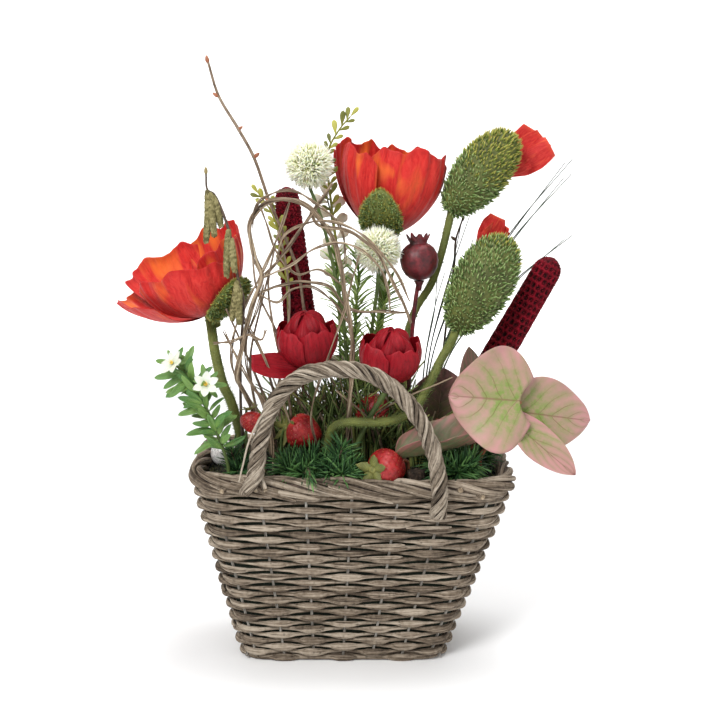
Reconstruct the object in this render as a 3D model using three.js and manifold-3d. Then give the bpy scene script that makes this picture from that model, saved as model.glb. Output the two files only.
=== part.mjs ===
// Flower basket arrangement, in millimetres, +Z up.
// The origin is the middle of the basket's underside, +X is the basket's right seen from
// the front and +Y points to the back. Every stem stands in a plain hole in moss and foam.
import * as THREE from "three";
import { mergeVertices } from "three/addons/utils/BufferGeometryUtils.js";
import { ParametricGeometry } from "three/addons/geometries/ParametricGeometry.js";
import Module from "manifold-3d";

const wasm = await Module();
wasm.setup();

// ---- driving dimensions ------------------------------------------------------------
const GAP = 0.4; // clearance between touching pieces
const WELD = 1e-3; // vertices nearer than this are one
const TIDY = 0.15; // slivers thinner than this are smoothed away after a join
const STEP = 1e-3; // parameter step for a slope

const BASKET = {
  base: { x: 95, y: 50, corner: 24 },
  top: { x: 145, y: 77, corner: 34 },
  lean: 9, // the rim's middle lies this far right of the base's
  height: 168,
  wall: 6,
  floor: 8,
  stakes: 20,
  courses: 28,
  rod: 1.2, // how far a course stands out of the wall
  wave: 2.2, // how far it swings over and under the stakes
};
const RIM = { z: 173.9, radius: 5.6, lobe: 0.16, turns: 10, sides: 6 };
const ROPE = { radius: 6.4, lobe: 0.15, turns: 4, sides: 6, per: 2 };
const FOAM = { top: 142, columns: 20 };
const MOSS = { edge: 169, mound: 8, bump: 1.4, columns: 20, rings: 2 };
const ROOT = 126; // how deep the flower stems reach into the foam
const PICK = 146; // how deep leaves, tufts and picks reach into the moss
const COLLAR = 168; // from here down every stem runs straight
const MOUTH = 184; // the sockets are open up to here
const BLADE = 0.9; // thickness of petals and leaves

// ---- small tools -------------------------------------------------------------------
const point = (x, y, z) => new THREE.Vector3(x, y, z);
const points = (list) => list.map(([x, y, z]) => point(x, y, z));
const clamp = (value, low, high) => Math.min(high, Math.max(low, value));
const mix = THREE.MathUtils.lerp;
const rad = THREE.MathUtils.degToRad;

function seeded(seed) {
  let state = seed;
  return () => {
    state = (state * 1664525 + 1013904223) % 4294967296;
    return state / 4294967296;
  };
}

// One closed body from a geometry: shared vertices merged, empty triangles dropped and
// the whole turned so that its faces point out.
function solid(geometry) {
  const bare = geometry.clone();
  bare.deleteAttribute("normal");
  bare.deleteAttribute("uv");
  const welded = mergeVertices(bare, WELD);
  const place = welded.attributes.position;
  const index = welded.index.array;
  const corners = [];
  let volume = 0;
  for (let i = 0; i < index.length; i += 3) {
    const [a, b, c] = [index[i], index[i + 1], index[i + 2]];
    if (a === b || b === c || c === a) continue;
    corners.push(a, b, c);
    const pa = point().fromBufferAttribute(place, a);
    const pb = point().fromBufferAttribute(place, b);
    const pc = point().fromBufferAttribute(place, c);
    volume += pa.dot(pb.cross(pc));
  }
  if (volume < 0) corners.reverse();
  const vertProperties = new Float32Array(place.array);
  const triVerts = new Uint32Array(corners);
  return new wasm.Manifold(new wasm.Mesh({ numProp: 3, vertProperties, triVerts }));
}

const fuse = (bodies) => wasm.Manifold.union(bodies).simplify(TIDY);

// A surface over u and v, each from 0 to 1, closed by its own rule. On a studded one every
// square is split along its two low corners, so that each raised corner is a stud alone.
function surface(columns, rows, rule, studded = false) {
  const place = (u, v, target) => target.copy(rule(u, v));
  const geometry = new ParametricGeometry(place, columns, rows);
  if (!studded) return solid(geometry);
  const index = [];
  for (let j = 0; j < rows; j++) {
    for (let i = 0; i < columns; i++) {
      const a = j * (columns + 1) + i;
      const [b, c, d] = [a + 1, a + columns + 2, a + columns + 1];
      if ((i + j) % 2) index.push(a, b, d, b, c, d);
      else index.push(a, b, c, a, c, d);
    }
  }
  geometry.setIndex(index);
  return solid(geometry);
}

// A thin sheet round the middle surface rule(u, v), u from -1 to 1 across and v from 0 to
// 1 along, split into triangles alike on both faces. relief(i, j) raises its upper face.
function sheet(columns, rows, rule, thickness = BLADE, relief = () => 0) {
  const plane = new THREE.PlaneGeometry(2, 1, columns, rows);
  const grid = plane.attributes.position;
  const upper = [];
  const lower = [];
  for (let k = 0; k < grid.count; k++) {
    const u = grid.getX(k);
    const v = grid.getY(k) + 0.5;
    const across = rule(u + STEP, v).sub(rule(u - STEP, v));
    const along = rule(u, v + STEP).sub(rule(u, v - STEP));
    const normal = across.cross(along).normalize();
    const raised = thickness / 2 + relief(k % (columns + 1), Math.floor(k / (columns + 1)));
    upper.push(...rule(u, v).addScaledVector(normal, raised).toArray());
    lower.push(...rule(u, v).addScaledVector(normal, -thickness / 2).toArray());
  }
  const count = grid.count;
  const face = Array.from(plane.index.array);
  const index = [...face];
  for (let i = 0; i < face.length; i += 3) {
    index.push(face[i + 2] + count, face[i + 1] + count, face[i] + count);
  }
  const width = columns + 1;
  const edge = [];
  for (let i = 0; i < columns; i++) edge.push(rows * width + i);
  for (let j = rows; j > 0; j--) edge.push(j * width + columns);
  for (let i = columns; i > 0; i--) edge.push(i);
  for (let j = 0; j < rows; j++) edge.push(j * width);
  edge.forEach((here, k) => {
    const next = edge[(k + 1) % edge.length];
    index.push(next, here, here + count, next, here + count, next + count);
  });
  const geometry = new THREE.BufferGeometry();
  geometry.setAttribute("position", new THREE.Float32BufferAttribute([...upper, ...lower], 3));
  geometry.setIndex(index);
  return solid(geometry);
}

// Places and section axes along a smooth line, carried on from step to step without twist.
function framesAlong(line, shares) {
  let tangent = line.getTangent(shares[0]);
  const helper = Math.abs(tangent.z) > 0.8 ? point(1, 0, 0) : point(0, 0, 1);
  let side = helper.cross(tangent).normalize();
  return shares.map((share) => {
    const next = line.getTangent(share);
    side = side.applyQuaternion(new THREE.Quaternion().setFromUnitVectors(tangent, next)).clone();
    tangent = next;
    return { place: line.getPoint(share), tangent, side: side.clone(), other: tangent.clone().cross(side) };
  });
}

// A tube along a smooth line through the given points, per steps from one to the next.
// The radius may follow the length, and lobes and turns make its section a rope's.
function tube(list, radius, { sides = 6, per = 1, lobe = 0, lobes = 3, turns = 0 } = {}) {
  const line = new THREE.CatmullRomCurve3(points(list), false, "centripetal");
  const steps = per * (list.length - 1);
  const frames = framesAlong(line, Array.from({ length: steps + 1 }, (_, k) => k / steps));
  const size = typeof radius === "function" ? radius : () => radius;
  return surface(sides, steps + 2, (u, v) => {
    const row = Math.round(v * (steps + 2));
    const step = clamp(row - 1, 0, steps);
    const angle = 2 * Math.PI * (Math.round(u * sides) % sides) / sides;
    const open = row === 0 || row === steps + 2 ? 0 : 1;
    const reach = open * size(step / steps) * (1 + lobe * Math.cos(lobes * angle));
    const twisted = angle + 2 * Math.PI * turns * step / steps;
    const { place, side, other } = frames[step];
    return place.clone()
      .addScaledVector(side, reach * Math.cos(twisted))
      .addScaledVector(other, reach * Math.sin(twisted));
  });
}

// A closed body of revolution about +Z through profile(v) = [radius, height], stretched or
// studded by bulge(i, j) and carried to its place by a matrix.
function turned(columns, rows, profile, placing = new THREE.Matrix4(), bulge = () => 0, studded = false) {
  return surface(columns, rows, (u, v) => {
    const i = Math.round(u * columns) % columns;
    const j = Math.round(v * rows);
    const [radius, height, spreadR = 1, spreadZ = 0] = profile(v);
    const angle = 2 * Math.PI * i / columns;
    const out = j === 0 || j === rows ? 0 : bulge(i, j);
    const reach = radius + out * spreadR;
    return point(reach * Math.cos(angle), reach * Math.sin(angle), height + out * spreadZ)
      .applyMatrix4(placing);
  }, studded);
}

// The placing whose +Z runs along the given direction from the given point.
function aim(origin, direction, spin = 0) {
  const turn = new THREE.Quaternion().setFromUnitVectors(point(0, 0, 1), point(...direction).normalize());
  const spun = new THREE.Quaternion().setFromAxisAngle(point(0, 0, 1), spin);
  return new THREE.Matrix4().compose(point(...origin), turn.multiply(spun), point(1, 1, 1));
}

// An egg with its long axis along +Z from 0 to length, studded all over like a burr.
function burr(placing, length, radius, columns, rows, spine, blunt = 0.5) {
  const profile = (v) => {
    const angle = Math.PI * v;
    const swell = Math.sin(angle) * (1 + (blunt - 0.5) * Math.cos(angle));
    return [radius * swell, length * (1 - Math.cos(angle)) / 2, Math.sin(angle), -Math.cos(angle)];
  };
  const studs = (i, j) => ((i + j) % 2 ? spine : 0);
  return turned(columns, rows, profile, placing, studs, true);
}

// A ball of the given radius about a point.
function ball(centre, radius, columns = 8, rows = 6) {
  const profile = (v) => [radius * Math.sin(Math.PI * v), -radius * Math.cos(Math.PI * v)];
  return turned(columns, rows, profile, aim(centre, [0, 0, 1]));
}

// A stem with slim needles drawn out of its surface all round, from the share first of its
// length to its tip: on every second ring three of the six corners run out to a point.
function bristled(path, { thick = 1.2, whorls = 8, length = 12, lean = 0.7, first = 0.3, seed = 1 }) {
  const random = seeded(seed);
  const sides = 5;
  const rings = 2 * whorls + 2;
  const line = new THREE.CatmullRomCurve3(points(path), false, "centripetal");
  const shares = Array.from({ length: rings + 1 }, (_, k) => (k ? mix(first, 1, (k - 1) / (rings - 1)) : 0));
  const frames = framesAlong(line, shares);
  const reaches = Array.from({ length: sides * (rings + 1) }, () => length * mix(0.8, 1.12, random()));
  return surface(sides, rings + 2, (u, v) => {
    const corner = Math.round(u * sides) % sides;
    const row = Math.round(v * (rings + 2));
    const ring = clamp(row - 1, 0, rings);
    const open = row === 0 || row === rings + 2 ? 0 : 1;
    const drawn = ring % 2 === 0 && ring > 0 && (corner + ring / 2) % 2 === 0 ? open : 0;
    const reach = reaches[ring * sides + corner];
    const angle = 2 * Math.PI * corner / sides + 0.35 * ring;
    const spread = drawn ? reach * (ring === rings ? 0.45 : 0.85) : open * thick;
    const { place, tangent, side, other } = frames[ring];
    return place.clone()
      .addScaledVector(side, spread * Math.cos(angle))
      .addScaledVector(other, spread * Math.sin(angle))
      .addScaledVector(tangent, drawn * reach * lean);
  });
}

// A pointed leaflet with a four-sided section.
function leaflet(from, direction, up, length, width, droop = 0, rows = 2) {
  const forward = point(...direction).normalize();
  const side = forward.clone().cross(point(...up)).normalize();
  const above = side.clone().cross(forward).normalize();
  return surface(4, rows, (u, v) => {
    const corner = Math.round(u * 4) % 4;
    const swell = Math.sin(Math.PI * Math.pow(v, 0.85));
    const half = v < 1e-6 || v > 1 - 1e-6 ? 0 : 1;
    const across = [1, 0, -1, 0][corner] * half * swell * width / 2;
    const thick = [0, 1, 0, -1][corner] * half * BLADE * 0.75;
    return point(...from)
      .addScaledVector(forward, length * v)
      .addScaledVector(side, across)
      .addScaledVector(above, thick - droop * v * v);
  });
}

// A cupped petal in a bloom's own frame. Its tangent turns from the start to the end angle
// measured from the axis, and lift keeps one side of it over its neighbour.
function petal(placing, shape) {
  const { turn, span, length, start, end, root = 3, lift = 1.6, ruffle = 2, seed = 1, offset = 0 } = shape;
  const { point: drop = 0.17, power = 4 } = shape;
  const bend = rad(end) - rad(start);
  return (u, v) => {
    const ragged = 1 - drop * Math.abs(u) ** power + 0.035 * Math.sin(9 * u + seed) * v;
    const s = v * ragged;
    const angle = rad(start) + bend * s;
    const reach = root + offset * Math.cos(angle) + length * (Math.cos(rad(start)) - Math.cos(angle)) / bend;
    const height = length * (Math.sin(angle) - Math.sin(rad(start))) / bend - offset * Math.sin(angle);
    const wave = ruffle * s * s * Math.sin(4.2 * u + seed);
    const round = turn + span * u;
    const out = reach + lift * u * (0.3 + 0.7 * s) + wave;
    return point(out * Math.cos(round), out * Math.sin(round), height + wave * 0.4).applyMatrix4(placing);
  };
}

const bloomPetal = (placing, shape) => {
  const [columns, rows] = shape.grid ?? [3, 3];
  return sheet(columns, rows, petal(placing, shape), shape.thick ?? BLADE, shape.relief);
};

// A flat, folded or cupped leaf. width(v) is half of its width, wave ripples its edges and
// notch draws the foot of its middle forward.
function leaf(origin, direction, up, shape) {
  const { length, width, curl = 0, fold = 0, grid = [4, 5] } = shape;
  const { thick = BLADE, wave = 0, seed = 1, notch = 0 } = shape;
  const forward = point(...direction).normalize();
  const side = forward.clone().cross(point(...up)).normalize();
  const above = side.clone().cross(forward).normalize();
  const rule = (u, v) => {
    const angle = curl * v;
    const run = Math.abs(curl) < 1e-3 ? v : Math.sin(angle) / curl;
    const rise = Math.abs(curl) < 1e-3 ? 0 : (1 - Math.cos(angle)) / curl;
    const half = width(v);
    const ripple = wave * u * u * Math.sin(7 * v + 2.5 * u + seed);
    const back = notch * u * u * (1 - v) ** 2;
    return point(...origin)
      .addScaledVector(forward, length * run - back)
      .addScaledVector(side, half * u)
      .addScaledVector(above, length * rise + fold * half * Math.abs(u) + ripple);
  };
  return sheet(grid[0], grid[1], rule, thick);
}

// ---- the list of pieces ------------------------------------------------------------
const arrangement = new THREE.Group();
arrangement.name = "flower_basket_arrangement";
const sockets = []; // what the moss and the foam are cut by

function add(name, body, color, roughness = 0.7, metalness = 0) {
  const mesh = body.getMesh();
  const geometry = new THREE.BufferGeometry();
  geometry.setAttribute("position", new THREE.BufferAttribute(mesh.vertProperties, 3));
  geometry.setIndex(new THREE.BufferAttribute(mesh.triVerts, 1));
  geometry.computeVertexNormals();
  const piece = new THREE.Mesh(geometry, new THREE.MeshStandardMaterial({ color, roughness, metalness }));
  piece.name = name;
  arrangement.add(piece);
}

// A stem that runs down through the list of points and then straight into its socket.
function stem(list, radius, { sides = 5, per = 1, root = ROOT } = {}) {
  const [x, y] = list[list.length - 1];
  const wide = (radius + GAP) / Math.cos(Math.PI / sides);
  sockets.push(tube([[x, y, MOUTH], [x, y, root - GAP]], wide, { sides }));
  return tube([...list, [x, y, COLLAR], [x, y, root]], radius, { sides, per });
}

// ---- the basket --------------------------------------------------------------------
const COLUMNS = 2 * BASKET.stakes;

// Points spaced evenly round a rectangle with round corners, from the middle of its front.
function roundedRing({ x, y, corner }, count, shift = 0) {
  const path = new THREE.Path();
  path.moveTo(shift, -y);
  path.lineTo(shift + x - corner, -y);
  path.absarc(shift + x - corner, -y + corner, corner, -Math.PI / 2, 0);
  path.lineTo(shift + x, y - corner);
  path.absarc(shift + x - corner, y - corner, corner, 0, Math.PI / 2);
  path.lineTo(shift - x + corner, y);
  path.absarc(shift - x + corner, y - corner, corner, Math.PI / 2, Math.PI);
  path.lineTo(shift - x, -y + corner);
  path.absarc(shift - x + corner, -y + corner, corner, Math.PI, 1.5 * Math.PI);
  path.closePath();
  return path.getSpacedPoints(count);
}

const shrunk = ({ x, y, corner }, inset) => ({ x: x - inset, y: y - inset, corner: corner - inset });

// The rim dips in the middle and runs up to its left end.
const rimLift = (x) => 3 * ((x - BASKET.lean) / BASKET.top.x) ** 2 - 3 * (x - BASKET.lean) / BASKET.top.x;

// A point of the basket's wall: t is 0 at the base and 1 at the top, inset is measured
// into the basket, and count is how many columns the ring has.
function wallPoint(i, t, inset, count) {
  const low = roundedRing(shrunk(BASKET.base, inset), count)[i % count];
  const high = roundedRing(shrunk(BASKET.top, inset), count, BASKET.lean)[i % count];
  const x = mix(low.x, high.x, t);
  return point(x, mix(low.y, high.y, t), BASKET.height * t + rimLift(x) * t * t);
}

// Every course is one ring of points that stand out where its rod passes over a stake and
// sink in where it passes behind one. The next course does so the other way round.
function basketBody() {
  const top = BASKET.courses + 1;
  const floorT = BASKET.floor / BASKET.height;
  const rows = top + 4;
  return surface(COLUMNS, rows, (u, v) => {
    const i = Math.round(u * COLUMNS) % COLUMNS;
    const j = Math.round(v * rows);
    if (j === 0) return point(0, 0, 0);
    if (j === rows) return point(0, 0, BASKET.floor);
    if (j === rows - 1) return wallPoint(i, floorT, BASKET.wall, COLUMNS).setZ(BASKET.floor);
    if (j === rows - 2) return wallPoint(i, 1, BASKET.wall, COLUMNS);
    if (j === 1) return wallPoint(i, 0, 0, COLUMNS);
    if (j === top + 1) return wallPoint(i, 1, 0, COLUMNS);
    const course = j - 2;
    const over = Math.cos(Math.PI * (i / 2 + course));
    const out = BASKET.rod + BASKET.wave * over;
    return wallPoint(i, (course + 0.5) / (BASKET.courses + 0.2), -out, COLUMNS);
  }, true);
}

// The border is one closed ring whose section is two rods twisted about each other.
function basketRim() {
  const inset = BASKET.wall / 2;
  return surface(COLUMNS, RIM.sides, (u, v) => {
    const i = Math.round(u * COLUMNS) % COLUMNS;
    const middle = wallPoint(i, 1, inset, COLUMNS);
    const before = wallPoint(i + COLUMNS - 1, 1, inset, COLUMNS);
    const after = wallPoint(i + 1, 1, inset, COLUMNS);
    const out = after.sub(before).cross(point(0, 0, 1)).normalize();
    const angle = 2 * Math.PI * (Math.round(v * RIM.sides) % RIM.sides) / RIM.sides;
    const twist = 2 * Math.PI * RIM.turns * i / COLUMNS;
    const reach = RIM.radius * (1 + RIM.lobe * Math.cos(2 * angle));
    return middle.setZ(RIM.z + RIM.radius * RIM.lobe + rimLift(middle.x))
      .addScaledVector(out, reach * Math.cos(angle + twist / 2))
      .add(point(0, 0, reach * Math.sin(angle + twist / 2)));
  });
}

const HANDLE_FRONT = [
  [85, -85.4, 150], [86, -87.9, 172], [83, -88, 199], [75, -89, 224], [62, -87, 248], [43, -85, 267.5],
  [20, -84, 280], [-6, -84, 283], [-32, -84, 278], [-50, -85, 265], [-62, -87, 246], [-71, -89, 220],
  [-76, -88, 190], [-77, -87.9, 171],
];
const HANDLE_BACK = [
  [78, 85.4, 150], [79, 87.2, 172], [77, 90, 190], [70, 94, 211], [58, 95, 231], [40, 96, 247],
  [18, 97, 255], [-6, 97, 257], [-28, 96, 252], [-46, 95, 241], [-59, 94, 225], [-67, 93, 205],
  [-71, 90, 187], [-72, 87.2, 172], [-71, 85.4, 150],
];

const rope = (path) => tube(path, ROPE.radius, ROPE);

add("basket_body", basketBody(), 0x8c7d69, 0.85);
add("basket_rim", basketRim(), 0x84745f, 0.85);
add("basket_handle_front", rope(HANDLE_FRONT), 0x86735c, 0.85);
add("basket_handle_back", rope(HANDLE_BACK), 0x86735c, 0.85);

// ---- poppies -----------------------------------------------------------------------
const POPPY_RED = 0xd8351f;
const PETAL_RED = 0xc8281c;
const STEM_GREEN = 0x6f7f45;
const POD_GREEN = 0x6f8a35;

// The flat cushion that every petal of a bloom grows from.
function cushion(placing, radius) {
  const shape = [[0, -0.5], [radius, -0.5], [radius, 2.5], [0, 7]];
  return turned(8, 3, (v) => shape[Math.round(3 * v)], placing);
}

// Petals round a seed cushion. Each petal has its own turn, length and opening.
function poppy(placing, petals) {
  const parts = petals.map((shape, k) => bloomPetal(placing, {
    span: 0.74, lift: 4.5, grid: [4, 3], root: 6, seed: 1.7 * k, point: 0.26, power: 2.6, ...shape,
  }));
  return fuse([...parts, cushion(placing, 10)]);
}

// A hairy half pod: a thick cupped shell outside the petals, studded on its outer face.
function sepal(placing, shape) {
  const studs = (i, j) => ((i + j) % 2 ? 2.4 : 0);
  const plain = { ruffle: 0, lift: 0, thick: 2.2, grid: [6, 4], relief: studs };
  return bloomPetal(placing, { ...plain, ...shape });
}

const leftPoppy = aim([-124, 9, 320], [-0.36, -0.12, 0.92]);
const centrePoppy = aim([39, 44, 390], [0.12, -0.06, 1]);
add("poppy_left_petals", poppy(leftPoppy, [
  { turn: rad(-104), length: 82, start: 84, end: 4, span: 0.8 },
  { turn: rad(-28), length: 84, start: 76, end: -4 },
  { turn: rad(48), length: 88, start: 74, end: 2 },
  { turn: rad(120), length: 86, start: 78, end: 10 },
  { turn: rad(190), length: 82, start: 88, end: 30, span: 0.8 },
]), POPPY_RED, 0.55);
add("poppy_centre_petals", poppy(centrePoppy, [
  { turn: rad(-78), length: 98, start: 64, end: -10 },
  { turn: rad(-6), length: 96, start: 62, end: -10 },
  { turn: rad(66), length: 98, start: 64, end: -12 },
  { turn: rad(138), length: 100, start: 64, end: -8 },
  { turn: rad(210), length: 90, start: 66, end: -12 },
]), POPPY_RED, 0.55);

// The end of a stem under a bloom: a small cup, its top a gap below the bloom's own base.
function cup(placing, radius) {
  const shape = [[0, -2.3 * radius], [0.6 * radius, -2.2 * radius], [radius, -0.9], [0, -0.9]];
  return turned(6, 3, (v) => shape[Math.round(3 * v)], placing);
}

add("poppy_left_stem", fuse([
  stem([[-124.5, 9, 314], [-122, 2, 302], [-118, -10, 284], [-110, -20, 256], [-104, -20, 243],
    [-97, -14, 214], [-95, -12, 196]], 4.6),
  cup(leftPoppy, 7),
  sepal(leftPoppy, {
    turn: rad(-48), span: 0.62, length: 62, start: 88, end: 28, root: 4, offset: 6, point: 0.4, power: 1.8,
  }),
]), POD_GREEN, 0.8);
add("poppy_centre_stem", fuse([
  stem([[39, 44, 383], [38, 43, 360], [36, 42, 310], [30, 40, 250], [26, 38, 196]], 3.4),
  cup(centrePoppy, 6),
  sepal(centrePoppy, {
    turn: rad(-100), span: 0.66, length: 69, start: 72, end: 14, root: 3, offset: 5.1, point: 0.6, power: 1.5,
  }),
]), POD_GREEN, 0.8);

// A half-open bud: a spiny pod on its stem, with crumpled petals coming out of its end.
const BUD_TOP = { base: [99, 24, 412], axis: [0.63, 0, 0.78], length: 92, radius: 27 };
const BUD_RIGHT = { base: [104, -5, 304], axis: [0.48, 0, 0.88], length: 98, radius: 30 };
const pod = ({ base, axis, length, radius }) => burr(aim(base, axis), length, radius, 10, 9, 3, 0.42);

add("bud_top_pod", fuse([pod(BUD_TOP),
  stem([[102, 24, 416], [98, 23.5, 397], [92, 23, 372], [83, 22, 345], [68, 20, 320], [57, 18, 280],
    [53, 16, 230], [52, 15, 196]], 3.6)]), POD_GREEN, 0.8);
add("bud_right_pod", fuse([pod(BUD_RIGHT),
  stem([[107, -5, 310], [101, -9, 296], [90, -16, 278], [77, -27, 254], [67, -34, 238], [55, -37, 230],
    [36, -41, 226], [4, -42, 226], [-8, -39, 221], [-13, -35, 208], [-14, -33, 194]], 4.1),
]), POD_GREEN, 0.8);

// Crumpled petals that burst out of a pod's flank, from a knob just outside its spines.
function budPetals({ base, axis }, { along, out, side }, shapes) {
  const knob = point(...base)
    .addScaledVector(point(...axis).normalize(), along)
    .addScaledVector(point(...side).normalize(), out).toArray();
  const petals = shapes.map((shape) => {
    const { direction, up } = shape;
    return leaf(knob, direction, up, { grid: [3, 2], wave: 2.2, ...shape });
  });
  return fuse([...petals, ball(knob, 4.5, 6, 4)]);
}
const flare = (most) => (v) => most * (0.3 + 0.75 * Math.sin(Math.PI * (0.1 + 0.72 * v)));
add("bud_top_petals", budPetals(BUD_TOP, { along: 66, out: 30.6, side: [0.5, 0.77, -0.4] }, [
  { direction: [0.9, -0.05, 0.36], up: [0.1, -1, 0.3], length: 46, width: flare(17), curl: 0.3, fold: -0.3 },
  { direction: [0.52, 0, 0.85], up: [0.1, -0.95, 0.2], length: 44, width: flare(15), curl: -0.2, seed: 3 },
]), PETAL_RED, 0.55);
add("bud_right_petals", budPetals(BUD_RIGHT, { along: 78, out: 33.1, side: [-0.3, 0.9, 0.16] }, [
  { direction: [0.42, -0.05, 0.9], up: [0.1, -1, 0.2], length: 33, width: flare(15), curl: 0.3, fold: -0.3 },
  { direction: [0.8, 0.05, 0.6], up: [0.1, -1, 0.2], length: 28, width: flare(11), curl: -0.3, seed: 3 },
]), PETAL_RED, 0.55);

// ---- peonies -----------------------------------------------------------------------
const PEONY_RED = 0x9c1220;
const PEONY_RINGS = [
  { count: 3, length: 66, start: 50, end: -45, span: 0.95, turn: 0.3, root: 6, point: 0.3, power: 3 },
  { count: 5, length: 53, start: 68, end: -12, span: 0.64, turn: 0.9, root: 6.5, point: 0.3, power: 2.6 },
];

function peony(placing, droops = []) {
  const parts = [cushion(placing, 12)];
  PEONY_RINGS.forEach((ring, level) => {
    for (let k = 0; k < ring.count; k++) {
      const turn = ring.turn + 2 * Math.PI * k / ring.count;
      parts.push(bloomPetal(placing, { ...ring, turn, ruffle: 1, lift: 3.2, seed: k + 2 * level }));
    }
  });
  droops.forEach((shape) => parts.push(bloomPetal(placing, { ruffle: 1, lift: 0, ...shape })));
  return fuse(parts);
}

const leftPeony = aim([-30, -26, 277], [-0.06, -0.2, 1]);
const rightPeony = aim([43, -26, 263], [0.05, -0.26, 1]);
add("peony_left_petals", peony(leftPeony, [
  { turn: rad(188), span: 0.42, length: 54, start: 100, end: 92, root: 6, seed: 2 },
]), PEONY_RED, 0.6);
add("peony_right_petals", peony(rightPeony), PEONY_RED, 0.6);
add("peony_left_stem", fuse([cup(leftPeony, 5),
  stem([[-29.8, -25, 271], [-29, -20, 256], [-26, -7, 232], [-24, -1, 196]], 2.6)]), STEM_GREEN);
add("peony_right_stem", fuse([cup(rightPeony, 5),
  stem([[42.8, -25, 257], [36, -28, 246], [22, -30, 222], [12, -29.5, 196]], 2.6)]), STEM_GREEN);

// ---- capsule and knobbly spikes ----------------------------------------------------
const CAPSULE = { centre: [70.5, 2, 367], axis: [-0.05, 0, 1] };
const CAPSULE_OUTLINE = [[0, -17], [7, -15.6], [13, -10], [16, 0], [13, 10], [7.5, 14], [8.5, 24], [6.2, 24],
  [5.4, 15.6], [0, 15.6]];

// A round capsule with a toothed crown.
function capsule() {
  const last = CAPSULE_OUTLINE.length - 1;
  const teeth = (i, j) => (j === 6 || j === 7 ? (i % 2 ? 1.8 : -0.8) : 0);
  const profile = (v) => [...CAPSULE_OUTLINE[Math.round(last * v)], 0.6, 2];
  return turned(10, last, profile, aim(CAPSULE.centre, CAPSULE.axis), teeth);
}
add("seed_capsule", fuse([capsule(),
  stem([[70.8, 2, 353], [67, 5, 326], [63, 7, 270], [61, 7, 196]], 2, { sides: 4 })]), 0x6d1a1e, 0.6);

// A spike of knobs in staggered rows round a tapering core with a round tip.
function spike(foot, tip, radius, knob) {
  const axis = point(...tip).sub(point(...foot));
  const rows = 11;
  const profile = (v) => {
    const dome = Math.sqrt(Math.max(0, 1 - Math.max(0, (v - 0.86) / 0.14) ** 2));
    const flank = Math.min(1, 0.4 + 8 * v) * mix(1, 0.86, v);
    return [v < 1e-6 || v > 1 - 1e-6 ? 0 : radius * dome * flank, axis.length() * v];
  };
  const knobs = (i, j) => ((i + j) % 2 ? knob : -0.3 * knob);
  return turned(10, rows, profile, aim(foot, axis.toArray()), knobs, true);
}
const SPIKE_RED = 0x6e0f1c;
add("red_spike_left", fuse([spike([-40, 30, 296], [-53.5, 30, 436], 13.6, 2.2),
  stem([[-40.4, 30, 300], [-38, 29, 250], [-36, 28, 196]], 2.6, { sides: 4 })]), SPIKE_RED, 0.8);
add("red_spike_right", fuse([spike([127, 25, 240], [199, 25, 369.5], 14.4, 2.2),
  stem([[129, 25, 243], [119, 25, 228], [105, 23, 206], [99, 20, 190]], 2.6, { sides: 4 }),
]), SPIKE_RED, 0.8);

// ---- white round heads -------------------------------------------------------------
const WHITE = 0xe9e8cf;
function pompom([x, y, z], radius, spine) {
  return burr(aim([x, y, z - radius], [0, 0, 1]), 2 * radius, radius, 12, 9, spine);
}
add("white_pompom_top_flower", pompom([-30, -4, 457], 19, 4.6), WHITE, 0.8);
add("white_pompom_mid_flower", pompom([32.5, -8, 380], 18, 4.4), WHITE, 0.8);
add("white_pompom_top_stem", stem([[-29.8, -4, 436.2], [-24, -3, 422], [-17, -2, 400],
  [-8, 1, 360], [1, 3, 310], [6, 5, 196]], 1.6, { sides: 4 }), STEM_GREEN);
add("white_pompom_mid_stem", stem([[32.6, -8, 360.5], [32, -4, 345], [28, 4, 312],
  [23, 14, 260], [20, 20, 196]], 1.7, { sides: 4 }), STEM_GREEN);

// ---- leafy sprigs ------------------------------------------------------------------
// The place on a stem's straight steps at a share of its points, and the way up from there.
function onSteps(path, share) {
  const at = clamp(share * (path.length - 1), 0, path.length - 1.001);
  const [upper, lower] = points(path.slice(Math.floor(at), Math.floor(at) + 2));
  return { place: upper.clone().lerp(lower, at % 1), heading: upper.sub(lower).normalize() };
}

// Leaflets in pairs up a thin stem, with one at the tip. The path runs down from the tip.
function sprig(path, { pairs, last, size, width, seed, spread = 1.1 }) {
  const random = seeded(seed);
  const radius = 1.3;
  const facing = point(0, -1, 0.2);
  const parts = [stem(path, radius, { sides: 4 })];
  for (let k = 0; k < pairs; k++) {
    const t = mix(0.02, last, k / Math.max(1, pairs - 1));
    [-1, 1].forEach((hand) => {
      const { place, heading } = onSteps(path, t + 0.015 * hand);
      const side = heading.clone().cross(facing).normalize().multiplyScalar(hand * spread);
      const direction = heading.clone().add(side).add(point(0, 0.5 * (random() - 0.5), 0));
      const reach = size * mix(0.8, 1.15, random());
      parts.push(leaflet(place.toArray(), direction.toArray(), facing.toArray(), reach, width));
    });
  }
  const tip = onSteps(path, 0.01);
  parts.push(leaflet(tip.place.toArray(), tip.heading.toArray(), facing.toArray(), size, width));
  return fuse(parts);
}
add("sprig_top", sprig([[7, 24, 500], [-4, 24, 487], [-14, 25, 466], [-11, 28, 420],
  [0, 35, 330], [4, 38, 196]], { pairs: 5, last: 0.42, size: 13, width: 5.4, seed: 3 }), 0xa4ac4a);
add("sprig_left", sprig([[-77, 6, 430], [-66, 7, 414], [-58, 8, 390], [-52, 9, 345],
  [-50, 8, 280], [-48, 8, 196]], { pairs: 4, last: 0.36, size: 11, width: 5, seed: 9 }), 0xa9ae5c);
add("cream_spray", sprig([[-15, 44, 424], [-11.5, 45, 408], [-7, 47, 380], [-4, 50, 300], [-2, 52, 196]],
  { pairs: 3, last: 0.36, size: 15, width: 9, seed: 5, spread: 1.6 }), 0xd9c6a0);

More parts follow.
